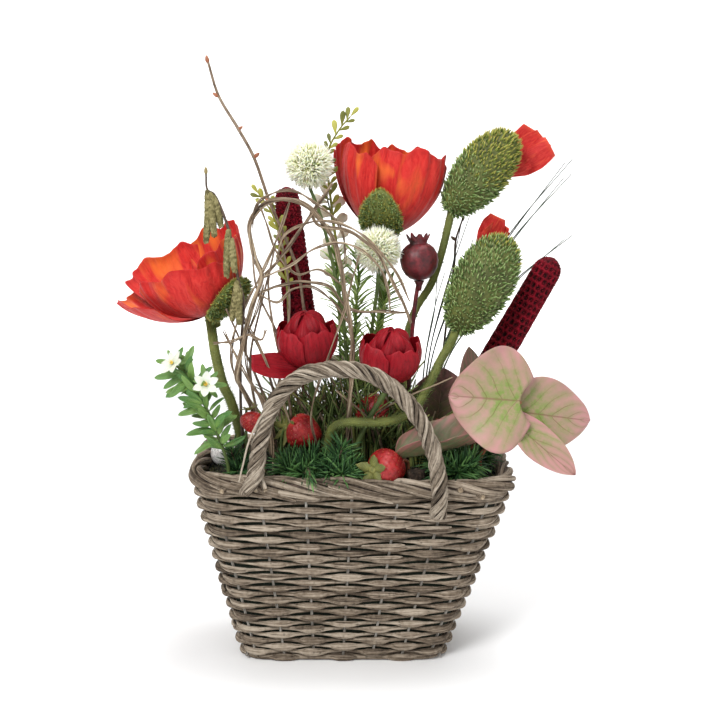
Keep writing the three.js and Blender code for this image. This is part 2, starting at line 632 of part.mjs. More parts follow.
// Three needled stems that leave one root.
const ROSEMARY = [
  [[8, 19, 238], [2, 18, 290], [-4, 17, 335], [-7, 16, 372]],
  [[8, 19, 238], [11, 18, 300], [14, 17, 340], [15, 17, 376]],
  [[8, 19, 238], [21, 20, 270], [35, 17, 312], [42, 16, 344]],
];
add("rosemary_spray", fuse([
  ...ROSEMARY.map((path, k) => bristled(path, {
    whorls: 5, length: 11, lean: 0.9, first: 0.2, seed: 17 + k,
  })),
  stem([[8, 19, 243], [8, 20, 196]], 1.6),
]), 0x4f7a34);

// ---- star flowers ------------------------------------------------------------------
const STAR_TRUNK = [
  [-140, -66, 279], [-128, -69, 262], [-119, -68, 242], [-109, -64, 214], [-103, -59, 190],
];
const STARS = {
  front: { centre: [-118.9, -79.2, 268], axis: [0.1, -0.85, 0.5] },
  side: { centre: [-147.2, -74.2, 285.8], axis: [-0.55, -0.6, 0.6] },
};
const STAR_SIZE = 12.5;

function starSprig() {
  const parts = [stem(STAR_TRUNK, 1.6, { root: PICK })];
  const random = seeded(21);
  const leaves = 13;
  for (let k = 0; k < leaves; k++) {
    const t = mix(0.02, 0.66, k / (leaves - 1));
    const { place, heading } = onSteps(STAR_TRUNK, t);
    const round = heading.clone().cross(point(0, -1, 0.3)).normalize().applyAxisAngle(heading, 2.4 * k);
    round.y = -0.6 * Math.abs(round.y);
    const direction = round.multiplyScalar(1.2).addScaledVector(heading, 0.5 + 0.5 * random());
    parts.push(leaflet(place.toArray(), direction.toArray(), [0, -1, 0.4],
      mix(20, 27, random()), 10, 3));
  }
  Object.values(STARS).forEach(({ centre, axis }, k) => {
    const under = point(...centre).addScaledVector(point(...axis).normalize(), -0.6);
    const from = onSteps(STAR_TRUNK, k ? 0.02 : 0.27).place;
    const bow = from.clone().lerp(under, 0.6).addScaledVector(point(...axis), -1);
    parts.push(tube([from, bow, under].map((spot) => spot.toArray()), 1.2, { sides: 3 }));
  });
  return fuse(parts);
}
add("star_sprig_leaves", starSprig(), 0x3f6b3a);

// Six pointed petals in one thin dished star that the stem's tip stops under.
function star({ centre, axis }) {
  const outline = [[0, 0], [1, 0.3], [1, 1.1], [0, 1.2]];
  const points6 = (i) => (i % 2 ? STAR_SIZE : 0.36 * STAR_SIZE);
  return surface(12, 3, (u, v) => {
    const i = Math.round(12 * u) % 12;
    const [share, height] = outline[Math.round(3 * v)];
    const reach = share * points6(i);
    const angle = Math.PI * i / 6;
    return point(reach * Math.cos(angle), reach * Math.sin(angle), height + 0.22 * reach)
      .applyMatrix4(aim(centre, axis));
  });
}
function starCentre({ centre, axis }) {
  const placing = aim(centre, axis).multiply(aim([0, 0, 1.7], [0, 0, 1]));
  return burr(placing, 3.4, 2, 6, 4, 0.6);
}
Object.entries(STARS).forEach(([name, flower]) => {
  add(`star_flower_${name}`, star(flower), 0xf2f2ee, 0.6);
  add(`star_centre_${name}`, starCentre(flower), 0xd9c23a);
});

// ---- strawberries ------------------------------------------------------------------
// A strawberry hangs point outwards from its calyx, which sits on a pick in the moss.
const BERRIES = [
  { name: "left", neck: [-52, -25, 218], axis: [1, -0.1, -0.28], length: 33, radius: 16,
    bow: [-57, -23, 205], pick: [-57, -22] },
  { name: "middle", neck: [43, 4, 232], axis: [-1, -0.35, -0.28], length: 33, radius: 15.6,
    bow: [46, 7, 214], pick: [46, 9] },
  { name: "front", neck: [23, -55, 190], axis: [1, 0.05, -0.12], length: 31, radius: 14.6,
    bow: [20, -54.5, 186], pick: [19, -54] },
  { name: "far", neck: [-84, -46, 238], axis: [0.2, -0.2, -1], length: 20, radius: 10,
    bow: [-88, -34, 234], pick: [-88, -31] },
];
function berry({ neck, axis, length, radius }, grow = 0) {
  const profile = (v) => {
    const angle = Math.PI * v;
    const swell = Math.sin(angle) * (1 + 0.28 * Math.cos(angle));
    return [(radius + grow) * swell, 1 - grow + (length + 2 * grow) * (1 - Math.cos(angle)) / 2];
  };
  const seeds = (i, j) => (grow ? 0.5 : (i + j) % 2 ? 0.45 : -0.25);
  return turned(10, 7, profile, aim(neck, axis), seeds, true);
}
function calyx({ neck, axis, bow, pick, radius }) {
  const placing = aim(neck, axis);
  const outline = [[0, -2.8], [1, -1.6], [1, -0.7], [0, 0.4]];
  const lobes = surface(10, 3, (u, v) => {
    const i = Math.round(10 * u) % 10;
    const [share, height] = outline[Math.round(3 * v)];
    const reach = share * radius * (i % 2 ? 0.9 : 0.32);
    const angle = Math.PI * i / 5;
    return point(reach * Math.cos(angle), reach * Math.sin(angle), height - 0.14 * reach)
      .applyMatrix4(placing);
  });
  const top = point(0, 0, -1.8).applyMatrix4(placing).toArray();
  return fuse([lobes, stem([top, bow, [...pick, 178]], 1.2, { sides: 4, root: PICK })]);
}
BERRIES.forEach((fruit) => {
  add(`strawberry_${fruit.name}`, berry(fruit), 0xb5161c, 0.35);
  add(`calyx_${fruit.name}`, calyx(fruit), 0x6a7434);
  if (fruit.name === "front") sockets.push(berry(fruit, GAP));
});

// ---- fir tufts ---------------------------------------------------------------------
const TUFTS = [
  { name: "left", path: [[-97, -45, 178], [-99, -46, 190], [-100, -47, 202]], length: 14 },
  { name: "front", path: [[-38, -50, 178], [-34, -51, 187], [-25, -53, 194]], length: 19 },
  { name: "middle", path: [[-3, -56, 178], [-4, -56, 188], [-3, -55, 196]], length: 14 },
  { name: "right", path: [[101, -46, 178], [107, -48, 185], [117, -50, 190]], length: 19 },
  { name: "end", path: [[123, -2, 178], [129, -2, 187], [137, -2, 194]], length: 15 },
];
TUFTS.forEach(({ name, path, length }, k) => {
  const [x, y] = path[0];
  const thick = 1.5;
  sockets.push(tube([[x, y, MOUTH], [x, y, PICK - GAP]], (thick + GAP) / Math.cos(Math.PI / 6)));
  add(`fir_tuft_${name}`, bristled([[x, y, PICK], [x, y, COLLAR], ...path], {
    thick, length, whorls: 6, lean: 0.6, first: 0.5, seed: 31 + k,
  }), 0x2f5a32);
});

// ---- broad leaves ------------------------------------------------------------------
const heart = (half) => (v) => half * (0.16 + 1.02 * Math.sin(Math.PI * Math.pow(0.04 + 0.93 * v, 0.62)));
const oval = (half) => (v) => half * (0.1 + 0.95 * Math.sin(Math.PI * (0.03 + 0.93 * v)));
const PINK_GREEN = 0xc08a86;
const PETIOLE = { sides: 4, root: PICK };

add("heart_leaf_large", fuse([
  leaf([157, -73, 252.5], [-0.98, -0.03, 0.02], [0.05, -1, 0.2],
    { length: 61, width: heart(39), curl: -0.3, fold: 0.12, grid: [6, 4], wave: 2.6, notch: 8 }),
  leaf([148, -74.5, 240], [0.68, -0.12, -0.72], [0.3, -0.8, 0.35],
    { length: 80, width: oval(13), curl: 0.2, fold: 0.35, grid: [4, 4], wave: 2.4, seed: 4 }),
  stem([[157, -72.5, 251], [151, -58, 245], [140, -42, 218], [127, -33, 190]], 1.7, PETIOLE),
]), PINK_GREEN, 0.5);
add("heart_leaf_small", fuse([
  leaf([172, -57, 238], [0.9, -0.05, -0.1], [0, -1, 0.15],
    { length: 59, width: heart(26), curl: -0.4, fold: 0.1, grid: [6, 4], wave: 2.4, notch: 8, seed: 2 }),
  stem([[176, -57, 238], [166, -46, 238], [150, -28, 214], [128, -21, 190]], 1.7, PETIOLE),
]), PINK_GREEN, 0.5);
add("blush_leaf", fuse([
  leaf([88, 2, 212], [0.12, 0.02, 1], [0, -1, 0],
    { length: 56, width: oval(22), curl: 0.25, fold: 0.3, grid: [4, 4], wave: 1.8, seed: 3 }),
  stem([[89, 2, 220], [86, 1.5, 204], [84, 1, 190]], 1.6, PETIOLE),
]), 0x9a7a62, 0.5);
add("olive_leaves", fuse([
  leaf([133, -22, 214], [0.42, -0.1, 0.9], [0.1, -1, 0.1],
    { length: 62, width: oval(15), curl: 0.3, fold: 0.25, grid: [4, 4], wave: 1.6, seed: 6 }),
  leaf([126, -20, 214], [-0.12, 0.28, 0.95], [0.1, -1, 0.2],
    { length: 78, width: oval(13), curl: 0.2, fold: 0.25, grid: [4, 4], wave: 1.6, seed: 8 }),
  stem([[132, -22, 222], [126, -20, 208], [116, -14, 190]], 2.4, PETIOLE),
]), 0x6d7a4a, 0.5);
add("curled_leaf", fuse([
  leaf([50, -60, 204], [1, 0.09, 0.04], [0, -0.75, 0.65],
    { length: 84, width: oval(13), curl: 0.15, fold: 0.9, grid: [4, 5], wave: 1.5, seed: 5, thick: 1.1 }),
  stem([[64, -60.5, 204], [62, -52, 200], [60, -42, 188]], 1.6, PETIOLE),
]), 0x8b8f6a, 0.5);

// ---- trimmings ---------------------------------------------------------------------
const SWIRL = { centre: [-114, 8, 184.5], radius: 10.5 };
add("swirl_ball", ball(SWIRL.centre, SWIRL.radius, 8, 5), 0xd8d6d0, 0.3);
sockets.push(ball(SWIRL.centre, SWIRL.radius + GAP, 8, 5));

// A plug of coarse bark: a short column with deep grooves.
const BARK = { foot: [68, -57, 160], radius: 8, height: 25 };
function plug(grow = 0) {
  const wide = BARK.radius + grow;
  const outline = [[0, -grow], [wide, -grow], [wide, 12], [wide, BARK.height], [0, BARK.height - 2]];
  const grooves = (i, j) => (grow ? 0 : (i % 2 ? -1.6 : 0) + (j === 2 ? -0.5 : 0));
  return turned(12, 4, (v) => outline[Math.round(4 * v)], aim(BARK.foot, [-0.06, 0.02, 1]), grooves);
}
add("bark_plug", plug(), 0x3f2f25, 0.95);
sockets.push(plug(GAP));

// ---- twigs, catkins and vines ------------------------------------------------------
const TWIG = { sides: 4 };
const budAt = (from, direction, size = 5) => leaflet(from, direction, [0, -1, 0.1], size, 0.55 * size);

add("hazel_twig", fuse([
  stem([[-120, -4, 548], [-111, -4, 518], [-94, -4, 489], [-80, -4, 463], [-66, -3, 422], [-53, 0, 391],
    [-42, 4, 361], [-37, 6, 330], [-33, 8, 280], [-29, 9, 196]], 1.5, TWIG),
  budAt([-120, -4, 547], [-0.2, 0, 1], 7), budAt([-111, -4, 517], [-0.9, -0.2, 0.6]),
  budAt([-94, -4, 488], [0.9, -0.2, 0.6]), budAt([-80, -4, 463], [0.8, -0.2, 0.7], 6),
  budAt([-66, -3, 423], [-0.8, -0.2, 0.6]),
]), 0x6e5540, 0.8);

const CATKIN_TWIG = [[-118, -52, 451], [-117, -52, 436], [-111, -52, 432], [-99, -53, 401], [-91, -53, 356],
  [-87, -52, 338], [-91, -42, 297], [-93, -33, 240], [-92, -26, 196]];
const CATKINS = [
  { from: [-117, -52, 436], to: [-119, -53, 391] }, { from: [-114, -52, 434], to: [-111.5, -55, 397] },
  { from: [-112, -52, 432], to: [-106, -51, 405] }, { from: [-99, -53, 402], to: [-101.5, -54, 361] },
  { from: [-97, -53, 394], to: [-94, -57, 366] }, { from: [-92, -53, 357], to: [-97, -55, 323] },
  { from: [-90, -53, 350], to: [-90.5, -59, 320] },
];
add("catkin_twig", fuse([
  stem(CATKIN_TWIG, 1.3, TWIG),
  budAt([-118, -52, 450], [0, 0, 1], 6),
  ...CATKINS.map(({ from, to }) => {
    const axis = point(...to).sub(point(...from));
    return burr(aim(from, axis.toArray()), axis.length(), 3, 4, 4, 0.9);
  }),
]), 0x8d7b46, 0.85);

add("dark_twig", fuse([
  stem([[114, 50, 404], [108, 51, 384], [107, 53, 362], [100, 56, 300], [91, 57, 196]], 1.2, TWIG),
  budAt([114, 50, 403], [0.3, 0, 1]), budAt([108, 51, 384], [-0.8, -0.2, 0.6], 6),
]), 0x4a3427, 0.8);

// One dried vine looped over itself: its strands cross in one sheet and hold together.
const VINES = [
  { radius: 2, path: [[-72, -31, 190], [-77, -32, 222], [-88, -40, 252], [-94, -52, 268],
    [-92, -53, 284], [-82, -46, 327], [-72, -39, 358], [-78, -38, 376], [-82, -37, 404], [-70, -37, 422],
    [-53, -37, 427], [-36, -37, 424], [-22, -37, 413], [-8, -38, 392], [-2, -38, 370], [4, -38, 335],
    [9, -38, 300], [7, -33, 250], [4, -25, 196]], feet: [0, 18] },
  { radius: 1.5, path: [[-72, -39, 357], [-55, -40, 375], [-36, -38, 402], [-20, -37, 424],
    [-8, -37, 441]] },
  { radius: 1.4, path: [[-28, -36, 416], [-20, -38, 404], [4, -40, 400], [30, -41, 382], [43, -40, 358],
    [57, -38, 330], [62, -36, 316]] },
  { radius: 1.3, path: [[-76, -41, 344], [-58, -40, 350], [-36, -39, 354], [-12, -39, 350], [2, -38, 333],
    [14, -37, 327], [34, -36, 327], [57, -37, 326]] },
  { radius: 1.3, path: [[-115, -50, 300], [-98, -50, 302], [-84, -50, 308], [-72, -48, 303],
    [-68, -44, 312]] },
  { radius: 1.3, path: [[-106, -48, 312], [-93, -52, 286], [-80, -56, 262], [-70, -57, 248], [-64, -50, 215],
    [-63, -44, 190]], feet: [5] },
];
const vineStrand = ({ path, radius, feet = [] }) => {
  const legs = feet.map((k) => stem([path[k]], radius, { sides: 4, root: PICK }));
  return [tube(path, radius, { sides: radius > 1.5 ? 4 : 3 }), ...legs];
};
add("vine_loops", fuse(VINES.flatMap(vineStrand)), 0xa08a6c, 0.85);

// Grass: thin blades that fan out of one foot.
const GRASS = { foot: [74, 50, 178], radius: 1.3 };
const GRASS_TIPS = [
  [121, 50, 408], [132, 52, 389], [219, 58, 461], [217, 50, 447], [219, 47, 389], [98, 56, 352],
];
function grass() {
  const [x0, y0, z0] = GRASS.foot;
  const blades = GRASS_TIPS.map(([x, y, z], k) => {
    const bow = 14 + 4 * k;
    const path = [GRASS.foot, [mix(x0, x, 0.22), mix(y0, y, 0.5), mix(z0, z, 0.4) + 0.5 * bow],
      [mix(x0, x, 0.6), y, mix(z0, z, 0.72) + 0.4 * bow], [x, y, z]];
    return tube(path, (t) => GRASS.radius * (1 - 0.62 * t), { sides: 3 });
  });
  return fuse([...blades, stem([[x0, y0, 184]], 3, { root: PICK })]);
}
add("grass_tuft", grass(), 0x4d5a3a, 0.7);

// ---- foam and moss, with every socket cut out ---------------------------------------
const WALL_GAP = GAP + 0.3;

// A point just inside the wall at height z, where the wall leans in a straight line.
function ring(i, z) {
  const lift = rimLift(wallPoint(i, 1, BASKET.wall, COLUMNS).x);
  const t = mix(BASKET.floor / BASKET.height, 1, (z - BASKET.floor) / (BASKET.height - BASKET.floor + lift));
  return wallPoint(i, t, BASKET.wall + WALL_GAP, COLUMNS).setZ(z);
}

function foam() {
  const low = BASKET.floor + GAP;
  return surface(FOAM.columns, 3, (u, v) => {
    const i = 2 * (Math.round(u * FOAM.columns) % FOAM.columns);
    const rows = [point(0, 0, low), ring(i, low), ring(i, FOAM.top), point(BASKET.lean, 0, FOAM.top)];
    return rows[Math.round(3 * v)];
  });
}

function moss() {
  const rows = MOSS.rings + 2;
  const middle = point(BASKET.lean, 0, 0);
  return surface(MOSS.columns, rows, (u, v) => {
    const i = 2 * (Math.round(u * MOSS.columns) % MOSS.columns);
    const j = Math.round(rows * v);
    if (j === 0) return middle.clone().setZ(FOAM.top + GAP);
    if (j === 1) return ring(i, FOAM.top + GAP);
    const share = (rows - j) / MOSS.rings;
    const bumps = j === rows ? 0 : MOSS.bump * Math.sin(1.9 * i + 2.3 * j);
    const height = MOSS.edge + MOSS.mound * (1 - share ** 4) + bumps;
    const place = middle.clone().lerp(ring(i, MOSS.edge - 5), share);
    return place.setZ(height + 0.8 * rimLift(place.x) * share);
  });
}

function cut(body) {
  const left = sockets.reduce((rest, socket) => rest.subtract(socket), body).simplify(TIDY);
  return left.decompose().sort((a, b) => b.volume() - a.volume())[0];
}
add("floral_foam", cut(foam()), 0x3f5a3c, 0.95);
add("moss_bed", cut(moss()), 0x4a4a2c, 0.98);

export default arrangement;
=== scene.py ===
"""Flower basket arrangement: a woven willow basket of poppies, peonies, buds, twigs and leaves.

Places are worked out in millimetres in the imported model's frame and put into the meshes in
metres. Every new surface carries two attributes that its material reads: "flow", which is
across, over and along for a rod or across, along and 0 for a sheet, and "tint", a shade of
its own for each rod, petal, leaf or floret.
"""
import math
import bpy
import numpy as np
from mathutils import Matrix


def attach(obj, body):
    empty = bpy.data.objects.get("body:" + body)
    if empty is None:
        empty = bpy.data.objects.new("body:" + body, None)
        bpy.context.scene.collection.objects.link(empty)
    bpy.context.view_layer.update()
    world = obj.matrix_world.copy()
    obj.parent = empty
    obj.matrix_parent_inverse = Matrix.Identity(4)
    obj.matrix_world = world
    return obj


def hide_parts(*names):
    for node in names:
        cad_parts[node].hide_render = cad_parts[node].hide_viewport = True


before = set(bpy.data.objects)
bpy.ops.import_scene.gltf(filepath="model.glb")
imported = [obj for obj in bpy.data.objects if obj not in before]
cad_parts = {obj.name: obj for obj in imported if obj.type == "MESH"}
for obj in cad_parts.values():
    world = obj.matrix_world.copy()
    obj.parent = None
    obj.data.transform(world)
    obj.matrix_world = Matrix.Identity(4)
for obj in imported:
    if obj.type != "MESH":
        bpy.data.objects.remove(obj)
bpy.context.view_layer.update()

MM = 0.001
BACK = np.array([0.0, 1.0, 0.0])
UP = np.array([0.0, 0.0, 1.0])
GOLDEN = np.pi * (3 - math.sqrt(5))


# ---- vectors and paths ---------------------------------------------------------------
def unit(a):
    """The vectors of an array, each divided by its length."""
    a = np.asarray(a, float)
    return a / np.maximum(np.linalg.norm(a, axis=-1, keepdims=True), 1e-12)


def mix(a, b, t):
    """The value at a share t of the way from a to b."""
    return a + (b - a) * t


def ease(t):
    """0 up to 0, then 3t^2 - 2t^3, then 1."""
    t = np.clip(t, 0, 1)
    return t * t * (3 - 2 * t)


def cycle(x):
    """A sine of one turn for each 1 of x."""
    return np.sin(2 * np.pi * x)


def turns(count):
    """Angles evenly spaced round one turn."""
    return 2 * np.pi * np.arange(count) / count


def polar(radius, angle, height):
    """Places at a radius, an angle and a height about +Z."""
    return np.stack(np.broadcast_arrays(radius * np.cos(angle), radius * np.sin(angle), height), -1)


def swung(x, y, z, angle):
    """Places turned about +Z by an angle."""
    c, s = math.cos(angle), math.sin(angle)
    return np.stack([x * c - y * s, x * s + y * c, z], -1)


def spoke(side, other, angle):
    """Directions at an angle from side towards other."""
    return side * np.cos(angle)[:, None] + other * np.sin(angle)[:, None]


class Seat:
    """A place and heading: its own +Z runs along the heading from the place. The turn is the
    rotation that carries +Z onto the heading by the shortest way."""

    def __init__(self, origin, direction=(0, 0, 1)):
        self.origin = np.asarray(origin, float)
        x, y, z = unit(direction)
        k = np.array([[0, 0, x], [0, 0, y], [-x, -y, 0]])
        self.turn = np.eye(3) + k + k @ k / (1 + z)

    def put(self, local):
        """Local places carried into the basket's frame."""
        return np.asarray(local, float) @ self.turn.T + self.origin


def run_of(line):
    """The length run from a line's start to each of its places."""
    return np.r_[0, np.cumsum(np.linalg.norm(np.diff(line, axis=0), axis=1))]


def even(line, share):
    """Places at shares of the length of a line of many points."""
    run = run_of(line)
    return np.stack([np.interp(share * run[-1], run, axis) for axis in line.T], -1)


def smooth(points, count):
    """A curve through the points, its speed at each one the mean of its two chords' speeds
    over the square roots of their lengths, and then places evenly spaced along it."""
    p = np.asarray(points, float)
    chord = np.diff(p, axis=0)
    knots = np.r_[0, np.cumsum(np.sqrt(np.linalg.norm(chord, axis=1)))]
    pace = chord / np.diff(knots)[:, None]
    speed = np.vstack([pace[:1], 0.5 * (pace[1:] + pace[:-1]), pace[-1:]])
    fine = np.linspace(0, knots[-1], 40 * len(p))
    k = np.clip(np.searchsorted(knots, fine, side="right") - 1, 0, len(p) - 2)
    width = (knots[k + 1] - knots[k])[:, None]
    t = (fine - knots[k])[:, None] / width
    curve = ((2 * t**3 - 3 * t**2 + 1) * p[k] + (t**3 - 2 * t**2 + t) * width * speed[k]
             + (3 * t**2 - 2 * t**3) * p[k + 1] + (t**3 - t**2) * width * speed[k + 1])
    return even(curve, np.linspace(0, 1, count))


def axes_along(path):
    """Heading, side and other side of each place of a path. The side is square to the
    heading and to the world axis that the path runs along least."""
    heading = unit(np.gradient(path, axis=0))
    helper = np.eye(3)[np.argmin(np.abs(heading).max(axis=0))]
    side = unit(np.cross(helper, heading))
    return heading, side, np.cross(heading, side)


# ---- pieces made of many surfaces ------------------------------------------------------
def link(name, data):
    """A new object of the data, in the scene."""
    made = bpy.data.objects.new(name, data)
    bpy.context.scene.collection.objects.link(made)
    return made


class Heap:
    """Surfaces gathered into one piece: corners, faces, flow, tint and finish number."""

    def __init__(self):
        self.corners, self.flow, self.tint, self.size = [], [], [], 0
        self.faces, self.coats = {4: [], 3: []}, {4: [], 3: []}

    def add(self, corners, quads, tris, flow, tint=0.0, coat=0):
        """One surface; its tints, one or many, are shared out evenly over its corners."""
        corners = np.reshape(corners, (-1, 3))
        for sides, faces in ((4, quads), (3, tris)):
            faces = np.reshape(faces, (-1, sides)).astype(int)
            self.faces[sides].append(faces + self.size)
            self.coats[sides].append(np.full(len(faces), coat))
        self.corners.append(corners)
        self.flow.append(np.reshape(flow, (-1, 3)))
        self.tint.append(np.repeat(np.ravel(tint), len(corners) // np.size(tint)))
        self.size += len(corners)

    def piece(self, name, slot, node, coats):
        """The heap as one Blender object in metres, standing for its node."""
        corners, quads, tris = map(np.vstack, (self.corners, self.faces[4], self.faces[3]))
        mesh = bpy.data.meshes.new(name)
        mesh.vertices.add(len(corners))
        mesh.vertices.foreach_set("co", (corners * MM).astype(np.float32).ravel())
        loops = np.r_[quads.ravel(), tris.ravel()]
        mesh.loops.add(len(loops))
        mesh.loops.foreach_set("vertex_index", loops.astype(np.int32))
        starts = np.r_[4 * np.arange(len(quads)), 4 * len(quads) + 3 * np.arange(len(tris))]
        mesh.polygons.add(len(starts))
        mesh.polygons.foreach_set("loop_start", starts.astype(np.int32))
        coat = np.concatenate(self.coats[4] + self.coats[3])
        mesh.polygons.foreach_set("material_index", coat.astype(np.int32))
        mesh.polygons.foreach_set("use_smooth", np.ones(len(starts), bool))
        mesh.update(calc_edges=True)
        for label, kind, key, values in (("flow", "FLOAT_VECTOR", "vector", np.vstack(self.flow)),
                                         ("tint", "FLOAT", "value", np.concatenate(self.tint))):
            mesh.attributes.new(label, kind, "POINT").data.foreach_set(key, values.astype(np.float32).ravel())
        for coat in coats:
            mesh.materials.append(coat)
        made = link(name, mesh)
        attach(made, "root")
        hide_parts(node)


def grid_faces(rows, columns, joined=False):
    """Quads over rows by columns of corners; joined, the last column meets the first."""
    r, c = np.meshgrid(np.arange(rows - 1), np.arange(columns if joined else columns - 1), indexing="ij")
    low, high, n = r * columns, (r + 1) * columns, (c + 1) % columns
    return np.stack([low + c, low + n, high + n, high + c], -1).reshape(-1, 4)


def fan(first, columns, middle):
    """Triangles from a ring of corners to the corner in its middle."""
    i = np.arange(columns)
    return np.stack([first + i, first + (i + 1) % columns, np.full(columns, middle)], 1)


def tube_faces(rows, columns):
    """Quads round a tube of rings, and the two fans that close it. Its corners end with the
    middles of the first and the last ring."""
    last = rows * columns
    ends = np.vstack([fan(0, columns, last)[:, [1, 0, 2]], fan(last - columns, columns, last + 1)])
    return grid_faces(rows, columns, True), ends


def add_rod(heap, path, radius, sides=8, tint=0.0, coat=0, flat=1.0, closed=False, offset=0.0):
    """A rod along a path: each ring is the path's place plus radius times cosine and sine on
    the two side axes; flat squeezes the second. It closes on itself, or its ends are closed."""
    rows = len(path)
    if closed:
        heading = unit(np.roll(path, -1, 0) - np.roll(path, 1, 0))
        side = unit(np.cross(UP, heading))
        other = np.cross(heading, side)
    else:
        side, other = axes_along(path)[1:]
    radius = np.ones((rows, 1)) * np.reshape(radius, (-1, 1))
    x, y = radius * np.cos(turns(sides)), radius * np.sin(turns(sides)) * np.reshape(flat, (-1, 1))
    ring = path[:, None] + side[:, None] * x[..., None] + other[:, None] * y[..., None]
    run = run_of(path)[:, None] + offset
    flow = np.stack([x, y, run + 0 * x], -1)
    if closed:
        heap.add(ring, grid_faces(rows + 1, sides, True) % (rows * sides), (), flow, tint, coat)
    else:
        heap.add(np.vstack([ring.reshape(-1, 3), path[:1], path[-1:]]), *tube_faces(rows, sides),
                 np.vstack([flow.reshape(-1, 3), [[0, 0, offset], [0, 0, run[-1, 0]]]]), tint, coat)


def add_turned(heap, seat, profile, columns, bulge=None, tint=0.0, coat=0):
    """A body of revolution about the seat's +Z: rows of (radius, height), raised out and up by
    bulge(angle, row) if there is one. The first and last rows are single places."""
    radius, height = np.asarray(profile, float).T[..., None]
    rows = len(profile) - 2
    angle = turns(columns)[None, :]
    out, rise = bulge(angle, np.arange(1, rows + 1)[:, None]) if bulge else (0.0, 0.0)
    ring = polar(radius[1:-1] + out, angle, height[1:-1] + rise).reshape(-1, 3)
    corners = np.vstack([ring, [[0, 0, height[0, 0]], [0, 0, height[-1, 0]]]])
    heap.add(seat.put(corners), *tube_faces(rows, columns), corners, tint, coat)


def ball(radius, rows, middle=0.0):
    """The profile of a ball: rows from its foot to its top."""
    angle = np.linspace(0, np.pi, rows)
    return np.stack([radius * np.sin(angle), middle - radius * np.cos(angle)], 1)


def sheet_shape(rule, columns, rows, thick):
    """A thin closed sheet about the places rule(u, v): half the thickness to each side along
    the cross product of its two slopes, thinner towards the edge, and a strip round it."""
    u, v = np.meshgrid(np.linspace(-1, 1, columns), np.linspace(0, 1, rows))
    middle = rule(u, v)
    normal = unit(np.cross(np.gradient(middle, axis=1), np.gradient(middle, axis=0)))
    half = (thick / 2 * (1 - 0.65 * np.maximum(np.abs(u) ** 6, v**8)))[..., None]
    corners = np.vstack([(middle + normal * half).reshape(-1, 3), (middle - normal * half).reshape(-1, 3)])
    top = grid_faces(rows, columns)
    count = rows * columns
    edge = np.r_[np.arange(columns - 1), np.arange(rows - 1) * columns + columns - 1,
                 (rows - 1) * columns + np.arange(columns - 1, 0, -1), np.arange(rows - 1, 0, -1) * columns]
    ahead = np.roll(edge, -1)
    strip = np.stack([edge + count, ahead + count, ahead, edge], 1)
    flow = np.stack([u, v, np.zeros_like(u)], -1).reshape(-1, 3)
    return corners, np.vstack([top, top[:, ::-1] + count, strip]), (), np.vstack([flow, flow])


def add_sheet(heap, rule, columns, rows, thick, tint):
    """One sheet put into the heap."""
    heap.add(*sheet_shape(rule, columns, rows, thick), tint)


def add_many(heap, shape, origins, headings, ups, size, tint, coat=0, spread=None):
    """One small shape, drawn with +X across, +Y over and +Z along, set down at many places.
    Its heading becomes +Z, its side is square to heading and up, size scales it and spread,
    if given, its width and thickness."""
    corners, quads, tris, flow = shape
    origins = np.reshape(origins, (-1, 3))
    count = len(origins)
    along = unit(np.broadcast_to(headings, origins.shape))
    side = unit(np.cross(along, unit(np.broadcast_to(ups, origins.shape)) + 1e-6))
    turn = np.stack([side, np.cross(side, along), along], -1)
    spread = size if spread is None else spread
    size, spread = (np.broadcast_to(np.reshape(a, (-1, 1)), (count, 1)) for a in (size, spread))
    local = corners[None] * np.stack([spread, spread, size], -1)
    placed = np.einsum("nij,nvj->nvi", turn, local) + origins[:, None]
    shift = (np.arange(count) * len(corners))[:, None, None]
    quads, tris = (np.reshape(faces, (1, -1, sides)) + shift for faces, sides in ((quads, 4), (tris, 3)))
    heap.add(placed, quads, tris, np.tile(flow, (count, 1)), tint, coat)


def spike_shape(sides, width, bend=0.0, waist=0.7):
    """A pointed prickle one long: a base ring, a ring at half its length and a tip, leaning
    over by bend times the length squared."""
    ring = polar(1, turns(sides), 0) * width / 2
    corners = np.vstack([ring, ring * waist + [0, bend * 0.25, 0.5], [[0, bend, 1]], [[0, 0, 0]]])
    ends = np.vstack([fan(sides, sides, 2 * sides), fan(0, sides, 2 * sides + 1)[:, [1, 0, 2]]])
    return corners, grid_faces(2, sides, True), ends, corners


def leaf_shape(width, columns, rows, thick, fold, droop, foot, full, tip=0.02):
    """A small leaf one long. Its half width grows from the foot to its fullest place and
    rounds off to the tip, its two halves fold up and it droops with the length squared."""
    def rule(u, v):
        grow = mix(foot, 1.0, np.sin(np.pi / 2 * np.clip(v / full, 0, 1)) ** 1.6)
        close = np.sqrt(np.clip(1 - np.clip((v - full) / (1 - full), 0, 1) ** 2, tip**2, 1))
        half = 0.5 * width * grow * close
        return np.stack([half * u, fold * half * np.abs(u) - droop * v * v, v + 0 * u], -1)
    return sheet_shape(rule, columns, rows, thick)


def sphere_points(count, seed, low=-1.0, high=1.0):
    """Directions spread over a ball between two heights by equal turns of the golden angle."""
    k = np.arange(count) + 0.5
    z = mix(low, high, k / count)
    return polar(np.sqrt(1 - z * z), GOLDEN * k + seed, z)


# ---- finishes --------------------------------------------------------------------------
class Signal:
    """A socket of a shader tree. Arithmetic on it adds Math nodes, from left to right."""

    def __init__(self, t, socket):
        self.t, self.socket = t, socket

    def __add__(self, other):
        return self.t.math("ADD", self, other)

    def __sub__(self, other):
        return self.t.math("SUBTRACT", self, other)

    def __mul__(self, other):
        return self.t.math("MULTIPLY", self, other)

    def __abs__(self):
        return self.t.math("ABSOLUTE", self)


